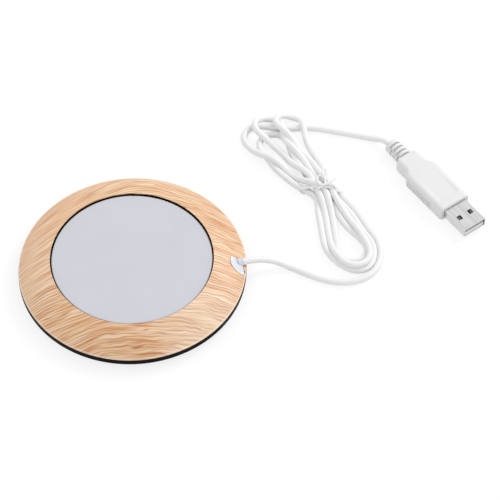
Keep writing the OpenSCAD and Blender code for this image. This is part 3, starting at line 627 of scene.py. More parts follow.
# %% [markdown]
# ## The plug's moulding
# The plug is overmoulded in the same white PVC as the cord. Its section is a rounded rectangle that
# narrows to a waist at the back, and then turns into the round strain relief. Boolean cuts in a bevelled
# box would break the shading of such a soft shape, so the whole moulding is one skin over many sections.
# What is cut into it is a depth that is taken off the points of some sections: a shallow panel for the
# thumb on both faces, and the slots of the strain relief, which alternate between top and bottom and the
# two sides so that the relief bends evenly. All places are distances behind the front face, in
# millimetres.

# %% Sections of the moulding
MOULD_L = 35.0
MOULD_HALF = 8.2
NECK_HALF = MOULD_HALF - 2.1
MOULD_TOP = 4.0
MOULD_CORNER = 2.2
# Share of the moulding's length, half width, half height, corner radius
stations = np.array([
    (0, MOULD_HALF - 0.5, MOULD_TOP - 0.5, MOULD_CORNER - 0.4),
    (0.015, MOULD_HALF - 0.1, MOULD_TOP - 0.1, MOULD_CORNER - 0.1),
    *[(share, MOULD_HALF, MOULD_TOP, MOULD_CORNER) for share in (0.12, 0.3, 0.5, 0.67)],
    (0.72, MOULD_HALF - 0.5, MOULD_TOP, MOULD_CORNER),
    (0.76, MOULD_HALF - 1.45, MOULD_TOP, MOULD_CORNER),
    *[(share, NECK_HALF, MOULD_TOP, MOULD_CORNER) for share in (0.8, 0.9)],
    (0.96, NECK_HALF - 0.1, MOULD_TOP, MOULD_CORNER),
    (0.985, NECK_HALF - 0.3, MOULD_TOP - 0.1, MOULD_CORNER - 0.1),
    (1, NECK_HALF - 0.9, MOULD_TOP - 0.4, MOULD_CORNER - 0.3)])
profile = smooth_line(stations[:, :3] * [MOULD_L, 1, 1], 0.2)
RELIEF_FRONT, RELIEF_BACK = 3.8, 3.6


def section_size(x):
    """Half width, half height and corner radius at a distance x behind the front face."""
    if x <= MOULD_L:
        corner = np.interp(x / MOULD_L, stations[:, 0], stations[:, 3])
        half_w, half_h = [np.interp(x, profile[:, 0], profile[:, k]) for k in (1, 2)]
        return [half_w, half_h, corner]
    r = np.interp(x, [MOULD_L, RELIEF_END], [RELIEF_FRONT, RELIEF_BACK])
    return [r, r, r]


def rounded_rectangle(half_w, half_h, corner, count):
    """Points and outward directions round a rounded rectangle, starting on the right."""
    corner = min(corner, half_w - 1e-3, half_h - 1e-3)
    centres = np.array([[1, 1], [-1, 1], [-1, -1], [1, -1]]) * [half_w - corner, half_h - corner]
    places, outs = [], []
    per_corner, per_side = count // 12, count // 6
    for quarter in range(4):
        middle, after = centres[quarter], centres[(quarter + 1) % 4]
        for k in range(per_corner):
            a = math.pi / 2 * (quarter + k / per_corner)
            outs.append([math.cos(a), math.sin(a)])
            places.append(middle + corner * np.array(outs[-1]))
        a = math.pi / 2 * (quarter + 1)
        for k in range(per_side):
            outs.append([math.cos(a), math.sin(a)])
            places.append(middle + (after - middle) * k / per_side + corner * np.array(outs[-1]))
    return np.array(places), np.array(outs)


print("plug: narrows from", 2 * MOULD_HALF, "to", 2 * NECK_HALF, "mm")

# %% What is cut into the moulding
# The panel for the thumb: it grows shallower towards its back, and its edges slope
PANEL_FRONT, PANEL_BACK, PANEL_HALF = 4, 20, 5.2
PANEL_DEEP, PANEL_EDGE, PANEL_FADE = 0.32, 0.4, 9
SLOTS, SLOT_FIRST, SLOT_STEP, SLOT_W = 7, 35.18, 1.222, 0.86
# Half thickness left by the slots in the top and bottom, and by those in the sides
CORES = (1.2, 2.5)
slot_starts = [SLOT_FIRST + k * SLOT_STEP for k in range(SLOTS)]


def carved(x, places, outs):
    """A section's points after the thumb panel and the slots are cut into it."""
    if x < MOULD_L:
        inside = np.minimum(min(x - PANEL_FRONT, PANEL_BACK - x), PANEL_HALF - np.abs(places[:, 0]))
        ramp = np.clip(inside / PANEL_EDGE, 0, 1) * (np.abs(outs[:, 1]) > 0.9)
        deep = PANEL_DEEP * min(1, (PANEL_BACK - x) / PANEL_FADE) if x < PANEL_BACK else 0
        return places - outs * (deep * ramp * ramp * (3 - 2 * ramp))[:, None]
    cut = places.copy()
    for k, start in enumerate(slot_starts):
        if start <= x <= start + SLOT_W:
            axis = 1 - k % 2
            cut[:, axis] = np.clip(cut[:, axis], -CORES[k % 2], CORES[k % 2])
    return cut


print("plug:", SLOTS, "slots, the last one ends at", round(slot_starts[-1] + SLOT_W, 2), "mm")

# %% Where the sections lie
# Sections stand close together at every edge, and 0.5 mm apart between them
slot_cuts = [start + place for start in slot_starts for place in (-0.02, 0, SLOT_W, SLOT_W + 0.02)]
panel_edge = (-0.2, 0, 0.15, 0.3, 0.4, 0.7)
panel_cuts = [PANEL_FRONT + place for place in panel_edge] + [PANEL_BACK - place for place in panel_edge]
front_cuts = [0, 0.15, 0.35, 0.6, 1.0, 1.5, *np.arange(2.2, 34.9, 0.5)]
neck_cuts = [34.3, 34.6, 34.85, MOULD_L, MOULD_L + 0.01]
end_cuts = [*np.arange(44, RELIEF_END, 0.5), RELIEF_END - 0.5, RELIEF_END - 0.2, RELIEF_END]
stops = sorted({round(float(x), 3)
                for x in [*front_cuts, *neck_cuts, *end_cuts, *slot_cuts, *panel_cuts]})
print("plug: sections at", len(stops), "places")


# %% Skin of the moulding
SECTION_POINTS = 120
SHELL_HALF_W, SHELL_HALF_H, SHELL_CORNER = 6.0, 2.25, 0.7
POCKET_GAP, POCKET_DEPTH = 0.12, 0.7
END_ROUND, END_IN = 0.25, 0.9


def onto_plug(spots):
    """Points of the plug's own frame (ahead of its front face, to its left, up), put in their place."""
    up = np.array([0, 0, 1.0])
    return PLUG_PLACE + spots[:, :1] * plug_along + spots[:, 1:2] * plug_side + spots[:, 2:] * up


def section_at(back, places):
    """A section's points, this far behind the front face."""
    return onto_plug(np.column_stack([np.full(len(places), -back), places]))


mould_rings = []
# The pocket that the shell stands in, from its bottom out to a small chamfer
for back, grow in ((POCKET_DEPTH, POCKET_GAP), (0.1, POCKET_GAP), (0, POCKET_GAP + 0.1)):
    places, outs = rounded_rectangle(SHELL_HALF_W + grow, SHELL_HALF_H + grow, SHELL_CORNER + grow,
                                     SECTION_POINTS)
    mould_rings.append(section_at(back, places))
for x in stops:
    places, outs = rounded_rectangle(*section_size(x), SECTION_POINTS)
    # The relief's end is rounded over its last two sections
    if x > RELIEF_END - 0.4:
        places = places - outs * (END_ROUND if x < RELIEF_END else END_IN)
    mould_rings.append(section_at(x, carved(x, places, outs)))
# The same PVC as the cord, but moulded: an even satin with a hardly visible grain
white_moulding = plain_finish("white_pvc_moulding", "#E9E9EA", "#E4E4E5", grain=0.7, relief=0.02, patch=12,
                              rough=(0.36, 0.44), ior=1.53)
plug_body = skin("plug_body", np.array(mould_rings), white_moulding, sharp=32)
print("plug:", len(mould_rings), "sections,", len(plug_body.data.polygons), "faces")

# %% [markdown]
# ## The plug's grip ribs
# Fine ribs down both sides keep fingers from slipping. They could be copied with an Array modifier, but
# two rows would need two of them. They repeat by a rule, so Geometry Nodes makes them: a row of points
# down each side, and one small lens-shaped rib at each, half sunk in the moulding. The tree has named
# inputs, so the rib's size, the count and the pitch can be changed in Blender.

# %% Node tree for the ribs
# Half width of a rib along the plug, and how far it stands out, in shares of its radius
RIB_NARROW, RIB_OUT = 0.85, 1.35
RIB_SEGMENTS, RIB_RINGS = 10, 7
ribs_tree = bpy.data.node_groups.new("grip ribs", "GeometryNodeTree")
ribs_tree.interface.new_socket("Geometry", in_out="OUTPUT", socket_type="NodeSocketGeometry")
rib_inputs = {"Ribs per side": ("NodeSocketInt", 12), "First rib": ("NodeSocketFloat", 7.5 * MM),
              "Pitch": ("NodeSocketFloat", 1.45 * MM), "Rib radius": ("NodeSocketFloat", 0.55 * MM),
              "Rib height": ("NodeSocketFloat", 4.8 * MM),
              "Half width": ("NodeSocketFloat", (MOULD_HALF - 0.02) * MM),
              "Finish": ("NodeSocketMaterial", white_moulding)}
for label, (kind, value) in rib_inputs.items():
    ribs_tree.interface.new_socket(label, in_out="INPUT", socket_type=kind)
given = add(ribs_tree, "NodeGroupInput").outputs
rib_ball = add(ribs_tree, "GeometryNodeMeshUVSphere",
               inputs={"Segments": RIB_SEGMENTS, "Rings": RIB_RINGS, "Radius": given["Rib radius"]})
stretch = add(ribs_tree, "ShaderNodeMath", {"operation": "DIVIDE"},
              {0: given["Rib height"], 1: given["Rib radius"]})
half_stretch = add(ribs_tree, "ShaderNodeMath", {"operation": "MULTIPLY"}, {0: stretch, 1: 0.5})
tall = add(ribs_tree, "ShaderNodeCombineXYZ", inputs={"X": RIB_NARROW, "Y": RIB_OUT, "Z": half_stretch})
rib = add(ribs_tree, "GeometryNodeTransform", inputs={"Geometry": rib_ball, "Scale": tall})
back_first = add(ribs_tree, "ShaderNodeMath", {"operation": "MULTIPLY"}, {0: given["First rib"], 1: -1.0})
back_pitch = add(ribs_tree, "ShaderNodeMath", {"operation": "MULTIPLY"}, {0: given["Pitch"], 1: -1.0})
step_by = add(ribs_tree, "ShaderNodeCombineXYZ", inputs={"X": back_pitch})
rows = add(ribs_tree, "GeometryNodeJoinGeometry")
for side in (-1.0, 1.0):
    edge = add(ribs_tree, "ShaderNodeMath", {"operation": "MULTIPLY"}, {0: given["Half width"], 1: side})
    start_at = add(ribs_tree, "ShaderNodeCombineXYZ", inputs={"X": back_first, "Y": edge})
    row = add(ribs_tree, "GeometryNodeMeshLine",
              inputs={"Count": given["Ribs per side"], "Start Location": start_at, "Offset": step_by})
    feed(rows, {0: row})
placed = add(ribs_tree, "GeometryNodeInstanceOnPoints", inputs={"Points": rows, "Instance": rib})
real = add(ribs_tree, "GeometryNodeRealizeInstances", inputs={"Geometry": placed})
painted = add(ribs_tree, "GeometryNodeSetMaterial", inputs={"Geometry": real, "Material": given["Finish"]})
add(ribs_tree, "NodeGroupOutput", inputs={"Geometry": painted})
print("ribs: a tree of", len(ribs_tree.nodes), "nodes with", len(rib_inputs), "inputs")


# %% Running a node tree once, and keeping the plain mesh
def bake_tree(name, node_tree, values, put_in_place):
    """Runs a Geometry Nodes tree on an empty mesh and returns its result as a plain object."""
    holder = new_object(name + "_maker", bpy.data.meshes.new(name + "_maker"))
    modifier = holder.modifiers.new("maker", "NODES")
    modifier.node_group = node_tree
    # A modifier knows its inputs by their identifiers, not by their names
    for socket in node_tree.interface.items_tree:
        if socket.in_out == "INPUT":
            modifier[socket.identifier] = values[socket.name][1]
    ready = holder.evaluated_get(bpy.context.evaluated_depsgraph_get())
    mesh = bpy.data.meshes.new_from_object(ready)
    mesh.name = name
    bpy.data.objects.remove(holder)
    spots = np.array([v.co for v in mesh.vertices]) / MM
    mesh.vertices.foreach_set("co", (put_in_place(spots) * MM).ravel())
    mesh.shade_smooth()
    return new_object(name, mesh)


plug_ribs = bake_tree("plug_ribs", ribs_tree, rib_inputs, onto_plug)
print("ribs:", len(plug_ribs.data.polygons), "faces")

# %% [markdown]
# ## Finish of the ring
# The ring is fibreboard, covered with a printed film of pale wood grain under clear satin lacquer. The
# print is the main thing that the eye sees: long fine lines with some wider brown streaks, which run
# across the disc and bend down at both sides, like the layers of a tree cut at a slant. Blender's Wave
# texture gives rings or straight bands, which don't bend like this. So the pattern is drawn in a grain
# coordinate: a number that stays the same along one line of the grain. Noise that is stretched along the
# line and tight across it then gives fibres, and the same noise at larger sizes gives the streaks.

# %% Printed wood-grain film: the grain coordinate
# grain = y - 0.11 x + 0.0075 x^2 exp(y / 33): the lines bend down at both sides, half as much on the right
GRAIN_SLANT, GRAIN_ARCH, ARCH_SPREAD = -0.11, 0.0075, 33.0
wood, tree, shader, mm = finish("printed_wood_film", roughness=0.42, coat_weight=0.1, coat_roughness=0.3)
spot = add(tree, "ShaderNodeSeparateXYZ", inputs={"Vector": mm}).outputs
x_mm, y_mm = spot["X"], spot["Y"]
shrink = add(tree, "ShaderNodeMath", {"operation": "DIVIDE"}, {0: y_mm, 1: ARCH_SPREAD})
growth = add(tree, "ShaderNodeMath", {"operation": "EXPONENT"}, {0: shrink})
half_x = add(tree, "ShaderNodeMath", {"operation": "MULTIPLY"}, {0: x_mm, 1: 0.5})
lesser = add(tree, "ShaderNodeMath", {"operation": "MINIMUM"}, {0: x_mm, 1: half_x})
square = add(tree, "ShaderNodeMath", {"operation": "MULTIPLY"}, {0: x_mm, 1: lesser})
arch = add(tree, "ShaderNodeMath", {"operation": "MULTIPLY"}, {0: square, 1: growth})
slant = add(tree, "ShaderNodeMath", {"operation": "MULTIPLY_ADD"}, {0: x_mm, 1: GRAIN_SLANT, 2: y_mm})
level = add(tree, "ShaderNodeMath", {"operation": "MULTIPLY_ADD"}, {0: arch, 1: GRAIN_ARCH, 2: slant})
# The lines ripple over 5 mm, more so on the right, and wander over 20 mm
waves = add(tree, "ShaderNodeTexNoise", inputs={"Vector": mm, "Scale": 1 / 5, "Detail": 1.0})
wave_height = add(tree, "ShaderNodeMapRange", inputs={"Value": x_mm, "From Min": 0.0, "From Max": 40.0,
                                                      "To Min": 0.2, "To Max": 1.5})
ripple = add(tree, "ShaderNodeMath", {"operation": "MULTIPLY_ADD"}, {0: waves, 1: wave_height, 2: level})
wander = add(tree, "ShaderNodeTexNoise", inputs={"Vector": mm, "Scale": 1 / 20, "Detail": 2.0})
grain = add(tree, "ShaderNodeMath", {"operation": "MULTIPLY_ADD"}, {0: wander, 1: 5.0, 2: ripple})
board = add(tree, "ShaderNodeCombineXYZ", inputs={"X": x_mm, "Y": grain})


def along_grain(length, width, shift, detail):
    """Noise whose patches have this length along the grain and this width across it, in mm."""
    at = add(tree, "ShaderNodeMapping", inputs={"Vector": board, "Location": (shift, 1.7 * shift, 0),
                                                "Scale": (1 / length, 1 / width, 1)})
    return add(tree, "ShaderNodeTexNoise", inputs={"Vector": at, "Scale": 1.0, "Detail": detail})


print("wood: a grain coordinate of", len(tree.nodes), "nodes")

# %% Printed wood-grain film: fibres and streaks
fibres = add(tree, "ShaderNodeMapRange", inputs={"Value": along_grain(15, 0.47, 0.0, 0.0),
                                                 "From Min": 0.34, "From Max": 0.66})
streaks = along_grain(42, 3.2, 3.1, 1.0)
fibre_tone = add(tree, "ShaderNodeMath", {"operation": "MULTIPLY_ADD"}, {0: fibres, 1: 0.3, 2: 0.245})
film_tone = add(tree, "ShaderNodeMath", {"operation": "MULTIPLY_ADD"}, {0: streaks, 1: 0.26, 2: fibre_tone})
ink = add(tree, "ShaderNodeValToRGB", inputs={"Fac": film_tone})
ramp = ink.color_ramp
ramp.elements[0].position, ramp.elements[0].color = 0.3, colour("#C17F4B")
ramp.elements[1].position, ramp.elements[1].color = 0.7, colour("#F9DFC0")
for place, tone_hex in ((0.4, "#D99F6C"), (0.48, "#E8B98D"), (0.56, "#EFCAA4")):
    stop = ramp.elements.new(place)
    stop.color = colour(tone_hex)
print("wood: ink in", len(ramp.elements), "tones")

# %% Printed wood-grain film: drawn lines
# The print's finest lines would vanish in the render, so they are drawn as coarse as they need to show:
# about LINE_STEP apart, by a sine of the grain coordinate, with its phase pushed about by noise
LINE_STEP = 1.5
push = add(tree, "ShaderNodeMath", {"operation": "MULTIPLY"}, {0: along_grain(12, 2.4, 8.3, 1.0), 1: 6.0})
phase = add(tree, "ShaderNodeMath", {"operation": "MULTIPLY_ADD"},
            {0: grain, 1: math.pi / LINE_STEP, 2: push})
wave = add(tree, "ShaderNodeMath", {"operation": "SINE"}, {0: phase})
off_line = add(tree, "ShaderNodeMath", {"operation": "ABSOLUTE"}, {0: wave})
drawn_line = add(tree, "ShaderNodeMapRange", inputs={"Value": off_line, "From Min": 0.15, "From Max": 0.65,
                                                     "To Min": 1.0, "To Max": 0.0})
strength = add(tree, "ShaderNodeMapRange",
               inputs={"Value": along_grain(16, 2.0, 5.9, 2.0), "From Min": 0.38, "From Max": 0.62,
                       "To Min": 0.12, "To Max": 0.95})
line_ink = add(tree, "ShaderNodeMath", {"operation": "MULTIPLY"}, {0: drawn_line, 1: strength})
lined = add(tree, "ShaderNodeMix", {"data_type": "RGBA"}, {0: line_ink, "A": ink, "B": colour("#BA7743")})
print("wood: a drawn line every", LINE_STEP, "mm")

# %% Printed wood-grain film: painted light and shade over the disc, and relief
# Painted shade darkens the board at the front, painted light pales it at the front right and on the left,
# and a painted highlight runs along its rim
flat = add(tree, "ShaderNodeCombineXYZ", inputs={"X": x_mm, "Y": y_mm})


def patch_at(x, y, inner, outer, amount):
    """Share of a round patch of painted light or shade: all inside the inner radius, none past the outer.
    """
    away = add(tree, "ShaderNodeVectorMath", {"operation": "DISTANCE"}, {0: flat, 1: (x, y, 0)})
    return add(tree, "ShaderNodeMapRange", inputs={"Value": away, "From Min": inner, "From Max": outer,
                                                   "To Min": amount, "To Max": 0.0})


# Painted shade: the front of the board is made darker, where the light falls away
deep = add(tree, "ShaderNodeMix", {"data_type": "RGBA"},
           {0: patch_at(-6, -50, 10, 34, 0.2), "A": lined, "B": colour("#BE8554")})
radius = add(tree, "ShaderNodeVectorMath", {"operation": "LENGTH"}, {0: flat})
# Painted highlight: a pale band along the rim's outer edge, where the edge would catch the light
painted_rim_highlight = add(tree, "ShaderNodeMapRange", inputs={"Value": radius, "From Min": 49.3, "From Max": 49.6,
                                                   "To Min": 0.0, "To Max": 0.4})
# Painted light: the front right and the left of the board are made paler, where the light falls on them
painted_side_light = add(tree, "ShaderNodeMath", {"operation": "ADD"},
                 {0: patch_at(34, -34, 10, 28, 0.3), 1: patch_at(-50, -8, 10, 28, 0.14)})
# The painted highlight and the painted light together pale the film
pale = add(tree, "ShaderNodeMath", {"operation": "ADD"}, {0: painted_rim_highlight, 1: painted_side_light})
toned = add(tree, "ShaderNodeMix", {"data_type": "RGBA"}, {0: pale, "A": deep, "B": colour("#FFF0DE")})
relief = add(tree, "ShaderNodeBump", inputs={"Height": fibres, "Strength": 0.35, "Distance": 0.04 * MM})
feed(shader, {"Base Color": toned, "Normal": relief})
print("finish:", wood.name, "with", len(tree.nodes), "nodes")

# %% [markdown]
# ## Finishes of the other parts
# Each of these is one real material, and a comment says what it gives the eye. Most of them show only
# when the warmer is turned over or taken apart, so the plain finish with its own numbers is enough for
# each.

# %% Paint and plastics
# Matt black paint that soaks into the fibreboard: it dries flat, with hardly any reflection
painted_board = plain_finish("black_painted_board", "#0E0B0A", "#080605", grain=0.8, relief=0.05,
                             rough=(0.5, 0.62), specular_ior_level=0.06)
# Grey coat baked on the aluminium plate: an even satin with very fine orange peel
plate_coat = plain_finish("baked_grey_coat", "#D3D4DC", "#CDCFD6", grain=0.35, relief=0.02, patch=14,
                          rough=(0.42, 0.5))
# ABS from a mould with a spark-eroded texture: an even matt black that hides scratches
black_abs = plain_finish("black_abs", "#1B1C1E", "#131415", grain=0.5, relief=0.06, rough=(0.5, 0.62),
                         ior=1.54)
# Unfilled polyethylene: milky white and slightly waxy
inner_plastic = plain_finish("inner_polyethylene", "#F0EFEC", "#E8E7E2", grain=1.2, relief=0.03,
                             rough=(0.3, 0.42), ior=1.51)
# PVC drawn over the leads: smooth, in a full colour with a soft gloss
red_lead = plain_finish("red_pvc_insulation", "#B3140F", "#96100C", grain=0.6, relief=0.02,
                        rough=(0.32, 0.42), ior=1.53)
black_lead = plain_finish("black_pvc_insulation", "#1A1A1B", "#101011", grain=0.6, relief=0.02,
                          rough=(0.32, 0.42), ior=1.53)
# Polyimide film, which stands the heat: amber and glossy
amber_film = plain_finish("polyimide_film", "#C27A1E", "#A8660F", grain=3, relief=0.03, rough=(0.2, 0.3),
                          coat_weight=0.4)
print("finishes:", len(bpy.data.materials), "so far")

# %% Rubber and foam
# Foamed rubber, cut from a sheet: dull black, with open pores along the surface
foot_foam = plain_finish("foamed_rubber", "#242426", "#161617", grain=0.5, relief=0.15, patch=2,
                         rough=(0.8, 0.92))
# Melamine foam, which insulates: chalky, rough and a little uneven in tone
pad_foam = plain_finish("melamine_foam", "#D9D8D2", "#C6C5BE", grain=0.7, relief=0.25, patch=3,
                        rough=(0.85, 0.95))
print("finishes:", len(bpy.data.materials), "so far")

# %% Metals
# Zinc plating on the screws: bluish grey, and cloudy in patches
screw_zinc = plain_finish("zinc_plated_steel", "#BFC2C4", "#A9ACAE", grain=0.4, relief=0.03, patch=1.5,
                          rough=(0.28, 0.42), metallic=1.0)
# Foil rolled from a copper alloy and etched: a warm sheen
foil = plain_finish("etched_foil", "#C98D5C", "#B27648", grain=0.5, relief=0.02, patch=3,
                    rough=(0.3, 0.42), metallic=1.0)
# Tin solder that froze as it flowed: bright, and rippled
solder = plain_finish("tin_solder", "#D8DADC", "#B5B8BA", grain=0.6, relief=0.06, patch=1,
                      rough=(0.2, 0.34), metallic=1.0)
# The fuse's tinned can: a warmer and duller silver than the solder
fuse_can = plain_finish("tinned_can", "#CFCFCB", "#B8B8B4", grain=1.0, relief=0.03, patch=2,
                        rough=(0.26, 0.4), metallic=1.0)
# A flash of gold on the contacts: so thin that its yellow is pale
gold = plain_finish("gold_flash", "#E3BE6A", "#CFA752", grain=0.5, relief=0.01, patch=2,
                    rough=(0.18, 0.28), metallic=1.0)
print("finishes:", len(bpy.data.materials), "so far")

# %% [markdown]
# ## The outlet's cap
# The cap over the cord's outlet is moulded in white ABS, a cooler white than the cord. On the side of the
# plate its rim carries a painted highlight, a clean white line where it would catch the light. A rounded
# rim of its own could catch it, but the solids stay as they are, so it is painted: the cap's inner side is
# an arc, and the distance from the centre of that arc tells the rim from the rest.


# %% Cool white ABS, with a painted highlight on its rim
def reopened(material):
    """The tree of a finished material, its shader, and the socket that gives its colour so far."""
    tree = material.node_tree
    shader = next(node for node in tree.nodes if node.type == "BSDF_PRINCIPLED")
    return tree, shader, shader.inputs["Base Color"].links[0].from_socket


# Centre and radius of the arc where the painted highlight on the rim begins, and how softly it does
RIM_CENTRE, RIM_R, RIM_BLUR = (49.03, 0.54, 10.2), 5.3, 0.2
outlet_white = plain_finish("white_abs_outlet", "#DDE0E9", "#D6DAE4", grain=0.6, relief=0.02, patch=3,
                            rough=(0.3, 0.4))
tree, shader, cool_white = reopened(outlet_white)
place = add(tree, "ShaderNodeTexCoord").outputs["Object"]
away = add(tree, "ShaderNodeVectorMath", {"operation": "DISTANCE"},
           {0: place, 1: [number * MM for number in RIM_CENTRE]})
# Painted highlight: the rim is whitened where it would catch the light
painted_cap_highlight = add(tree, "ShaderNodeMapRange", inputs={"Value": away, "From Min": RIM_R * MM,
                                              "From Max": (RIM_R + RIM_BLUR) * MM})
cap_with_highlight = add(tree, "ShaderNodeMix", {"data_type": "RGBA"},
             {0: painted_cap_highlight, "A": cool_white, "B": colour("#FAFAFB")})
feed(shader, {"Base Color": cap_with_highlight})
print("finish:", outlet_white.name, "with", len(tree.nodes), "nodes")

# %% [markdown]
# ## The ring's channel for the cord
# The ring is painted first, and the channel for the cord is cut into it afterwards, so its walls show the
# bare fibreboard, pale and dry. The walls are part of the painted solid. So the paint gives way inside a
# box in space, which takes three tests: near the line of the cord, far enough from the middle, and high
# enough.

# %% Bare fibreboard in the channel
# Half width of the bare box, how far from the middle of the ring it begins, and how high
BARE_HALF, BARE_FROM, BARE_ABOVE = 5.4, 43.0, 6.1
tree, shader, paint = reopened(painted_board)
place = add(tree, "ShaderNodeTexCoord").outputs["Object"]
spot = add(tree, "ShaderNodeSeparateXYZ", inputs={"Vector": place}).outputs
beside = add(tree, "ShaderNodeMath", {"operation": "ABSOLUTE"}, {0: spot["Y"]})
near_cord = add(tree, "ShaderNodeMapRange",
                inputs={"Value": beside, "From Min": BARE_HALF * MM, "From Max": (BARE_HALF + 0.2) * MM,
                        "To Min": 1.0, "To Max": 0.0})
far_out = add(tree, "ShaderNodeMapRange", inputs={"Value": spot["X"], "From Min": BARE_FROM * MM,
                                                  "From Max": (BARE_FROM + 0.2) * MM})
high_up = add(tree, "ShaderNodeMapRange", inputs={"Value": spot["Z"], "From Min": BARE_ABOVE * MM,
                                                  "From Max": (BARE_ABOVE + 0.1) * MM})
in_slice = add(tree, "ShaderNodeMath", {"operation": "MULTIPLY"}, {0: near_cord, 1: far_out})
in_box = add(tree, "ShaderNodeMath", {"operation": "MULTIPLY"}, {0: in_slice, 1: high_up})
bared = add(tree, "ShaderNodeMix", {"data_type": "RGBA"}, {0: in_box, "A": paint, "B": colour("#D9B088")})
feed(shader, {"Base Color": bared})
print("finish:", painted_board.name, "with", len(tree.nodes), "nodes")

# %% [markdown]
# ## The plug's shell
# The shell is a strip of nickel-plated steel that was rolled, stamped and folded. Rolling leaves fine
# streaks along the plug, and handling leaves soft smears. An anisotropic shader would need a direction on
# each face of the fold. The streaks are drawn instead, as noise that a Mapping node turns the plug's way
# and stretches along it.

# %% Nickel-plated rolled steel
# Length and width of a streak
STREAK_L, STREAK_W = 14, 0.5
steel, tree, shader, mm = finish("nickel_plated_steel", metallic=1.0)
along_plug = add(tree, "ShaderNodeMapping", {"vector_type": "TEXTURE"},
                 {"Vector": mm, "Rotation": (0, 0, PLUG_ANGLE), "Scale": (STREAK_L, STREAK_W, STREAK_W)})
rolled = add(tree, "ShaderNodeTexNoise", inputs={"Vector": along_plug, "Scale": 1.0, "Detail": 3.0})
sheen = add(tree, "ShaderNodeMapRange", inputs={"Value": rolled, "From Min": 0.3, "From Max": 0.7})
tone = add(tree, "ShaderNodeMix", {"data_type": "RGBA"},
           {0: sheen, "A": colour("#C4C4C6"), "B": colour("#E2E2E2")})
smears = add(tree, "ShaderNodeTexNoise", inputs={"Vector": mm, "Scale": 0.3, "Detail": 2.0})
polish = add(tree, "ShaderNodeMapRange", inputs={"Value": smears, "From Min": 0.3, "From Max": 0.7,
                                                 "To Min": 0.12, "To Max": 0.2})
rolling = add(tree, "ShaderNodeBump", inputs={"Height": rolled, "Strength": 0.3, "Distance": 0.01 * MM})
feed(shader, {"Base Color": tone, "Roughness": polish, "Normal": rolling})
print("finish:", steel.name, "with", len(tree.nodes), "nodes")

# %% [markdown]
# ## Dressing the frame
# Each part of the frame brings slots with plain materials. A table that gives every part its finish keeps
# the whole choice in one place, where it is easy to check and to change, and a misspelt part stops the
# script.

# %% Each part of the frame gets its finish
part_finish = {
    "ring_board": painted_board, "wood_film": wood, "heating_plate": plate_coat, "heater_film": amber_film,
    "heater_track": foil, "solder_pads": solder, "thermal_fuse": fuse_can, "insulation_pad": pad_foam,
    "base_tray": black_abs, "base_screws": screw_zinc, "foot_ring": foot_foam, "cord_outlet": outlet_white,
    "cord_clamp": black_abs, "clamp_screws": screw_zinc, "cord_inner_end": white_moulding,
    "red_lead": red_lead, "black_lead": black_lead, "plug_inner_mould": inner_plastic, "plug_shell": steel,
    "plug_tongue": inner_plastic, "plug_contacts": gold}
for part, surface in part_finish.items():
    for material_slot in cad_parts[part].material_slots:
        material_slot.material = surface
print("finishes:", len(bpy.data.materials), "materials on", len(part_finish), "parts and the new pieces")

# %% [markdown]
# ## What stands for what
# The new pieces ride on the frame's only body, because nothing on this warmer moves. The cord stands for
# its three solids, and the tie and the plug's moulding for theirs.

# %% Riding and replacing
piece_slots = ((cord, "cord_jacket"), (tie, "tie_plastic"), (plug_body, "white_moulding"),
               (plug_ribs, "white_moulding"))
for piece, slot_name in piece_slots:
    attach(piece, "root")
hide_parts("cord_lead", "cord_hank", "cord_tail")
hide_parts("cord_tie")
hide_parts("plug_mould")
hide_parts("plug_mould")
print("pieces:", len(piece_slots), "new ones stand for five nodes of the frame")

# %% [markdown]
# ## Table, light and background
# The object stands on a white table under one large soft lamp and a white sky, so its colours come out
# nearly as they are written. Towards the object, the table is a plain diffuse white. Towards the camera it
# is a darker diffuse colour and a glow, which add up to white: that hides its edge against the sky and
# leaves the shadows faint, without any extra light on the object. The sky and the table both need to know
# whether a ray comes from the camera, so one function asks that for both.


# %% Table
def seen_directly(tree):
    """1 for rays that come from the camera, also by way of a mirror or glass, and 0 for all others."""
    ray = add(tree, "ShaderNodeLightPath").outputs
    either = add(tree, "ShaderNodeMath", {"operation": "MAXIMUM"},
                 {0: ray["Is Camera Ray"], 1: ray["Is Glossy Ray"]})
    return add(tree, "ShaderNodeMath", {"operation": "MAXIMUM"}, {0: either, 1: ray["Is Transmission Ray"]})


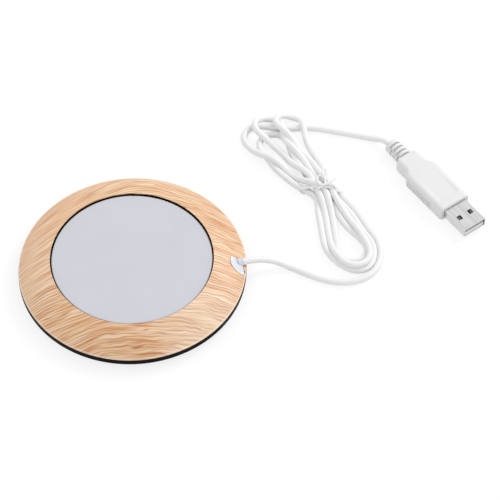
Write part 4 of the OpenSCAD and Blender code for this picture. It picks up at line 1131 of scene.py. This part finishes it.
FLOOR_SIZE = 4.0
TABLE_WHITE, TABLE_SEEN, GLOW = 0.8, 0.24, 0.79
table_white = bpy.data.materials.new("white_table")
table_white.use_nodes = True
tree = table_white.node_tree
tree.nodes.clear()
seen = seen_directly(tree)
glow = add(tree, "ShaderNodeMath", {"operation": "MULTIPLY"}, {0: seen, 1: GLOW})
grey = add(tree, "ShaderNodeMapRange", inputs={"Value": seen, "To Min": TABLE_WHITE, "To Max": TABLE_SEEN})
matt = add(tree, "ShaderNodeBsdfDiffuse", inputs={"Color": grey})
light_up = add(tree, "ShaderNodeEmission", inputs={"Color": (1, 1, 1, 1), "Strength": glow})
summed = add(tree, "ShaderNodeAddShader", inputs={0: matt, 1: light_up})
add(tree, "ShaderNodeOutputMaterial", inputs={"Surface": summed})
half = FLOOR_SIZE / 2
table_mesh = bpy.data.meshes.new("table")
corners = [(-half, -half, 0), (half, -half, 0), (half, half, 0), (-half, half, 0)]
table_mesh.from_pydata(corners, [], [(0, 1, 2, 3)])
table = new_object("table", table_mesh, table_white)
print("table:", FLOOR_SIZE, "m across")

# %% World
WORLD_LIGHT = 0.82
world = bpy.data.worlds.new("studio")
bpy.context.scene.world = world
world.use_nodes = True
tree = world.node_tree
tree.nodes.clear()
seen = seen_directly(tree)
level = add(tree, "ShaderNodeMapRange", inputs={"Value": seen, "To Min": WORLD_LIGHT, "To Max": 1.0})
sky = add(tree, "ShaderNodeBackground", inputs={"Color": (1, 1, 1, 1), "Strength": level})
add(tree, "ShaderNodeOutputWorld", inputs={"Surface": sky})
print("world:", WORLD_LIGHT, "of full white on the object, and white to the camera")


# %% Lamp
def soft_lamp(name, place, aim, size, watts):
    """A square area lamp that faces a point; all in metres."""
    lamp_data = bpy.data.lights.new(name, "AREA")
    lamp_data.size = size
    lamp_data.energy = watts
    lamp = bpy.data.objects.new(name, lamp_data)
    lamp.location = place
    facing = np.array(place) - np.array(aim)
    tilt = math.acos(facing[2] / np.linalg.norm(facing))
    lamp.rotation_euler = (tilt, 0, math.atan2(facing[1], facing[0]) + math.pi / 2)
    bpy.context.scene.collection.objects.link(lamp)


DISC = (0.04, 0.02, 0)
soft_lamp("key lamp", (0.64, 0.54, 0.66), DISC, 0.42, 3.4)
print("light:", len(bpy.data.lights), "lamp")

# %% [markdown]
# The Standard view transform shows a colour as it is written.

# %% View and the end
bpy.context.scene.view_settings.view_transform = "Standard"
bpy.context.view_layer.update()
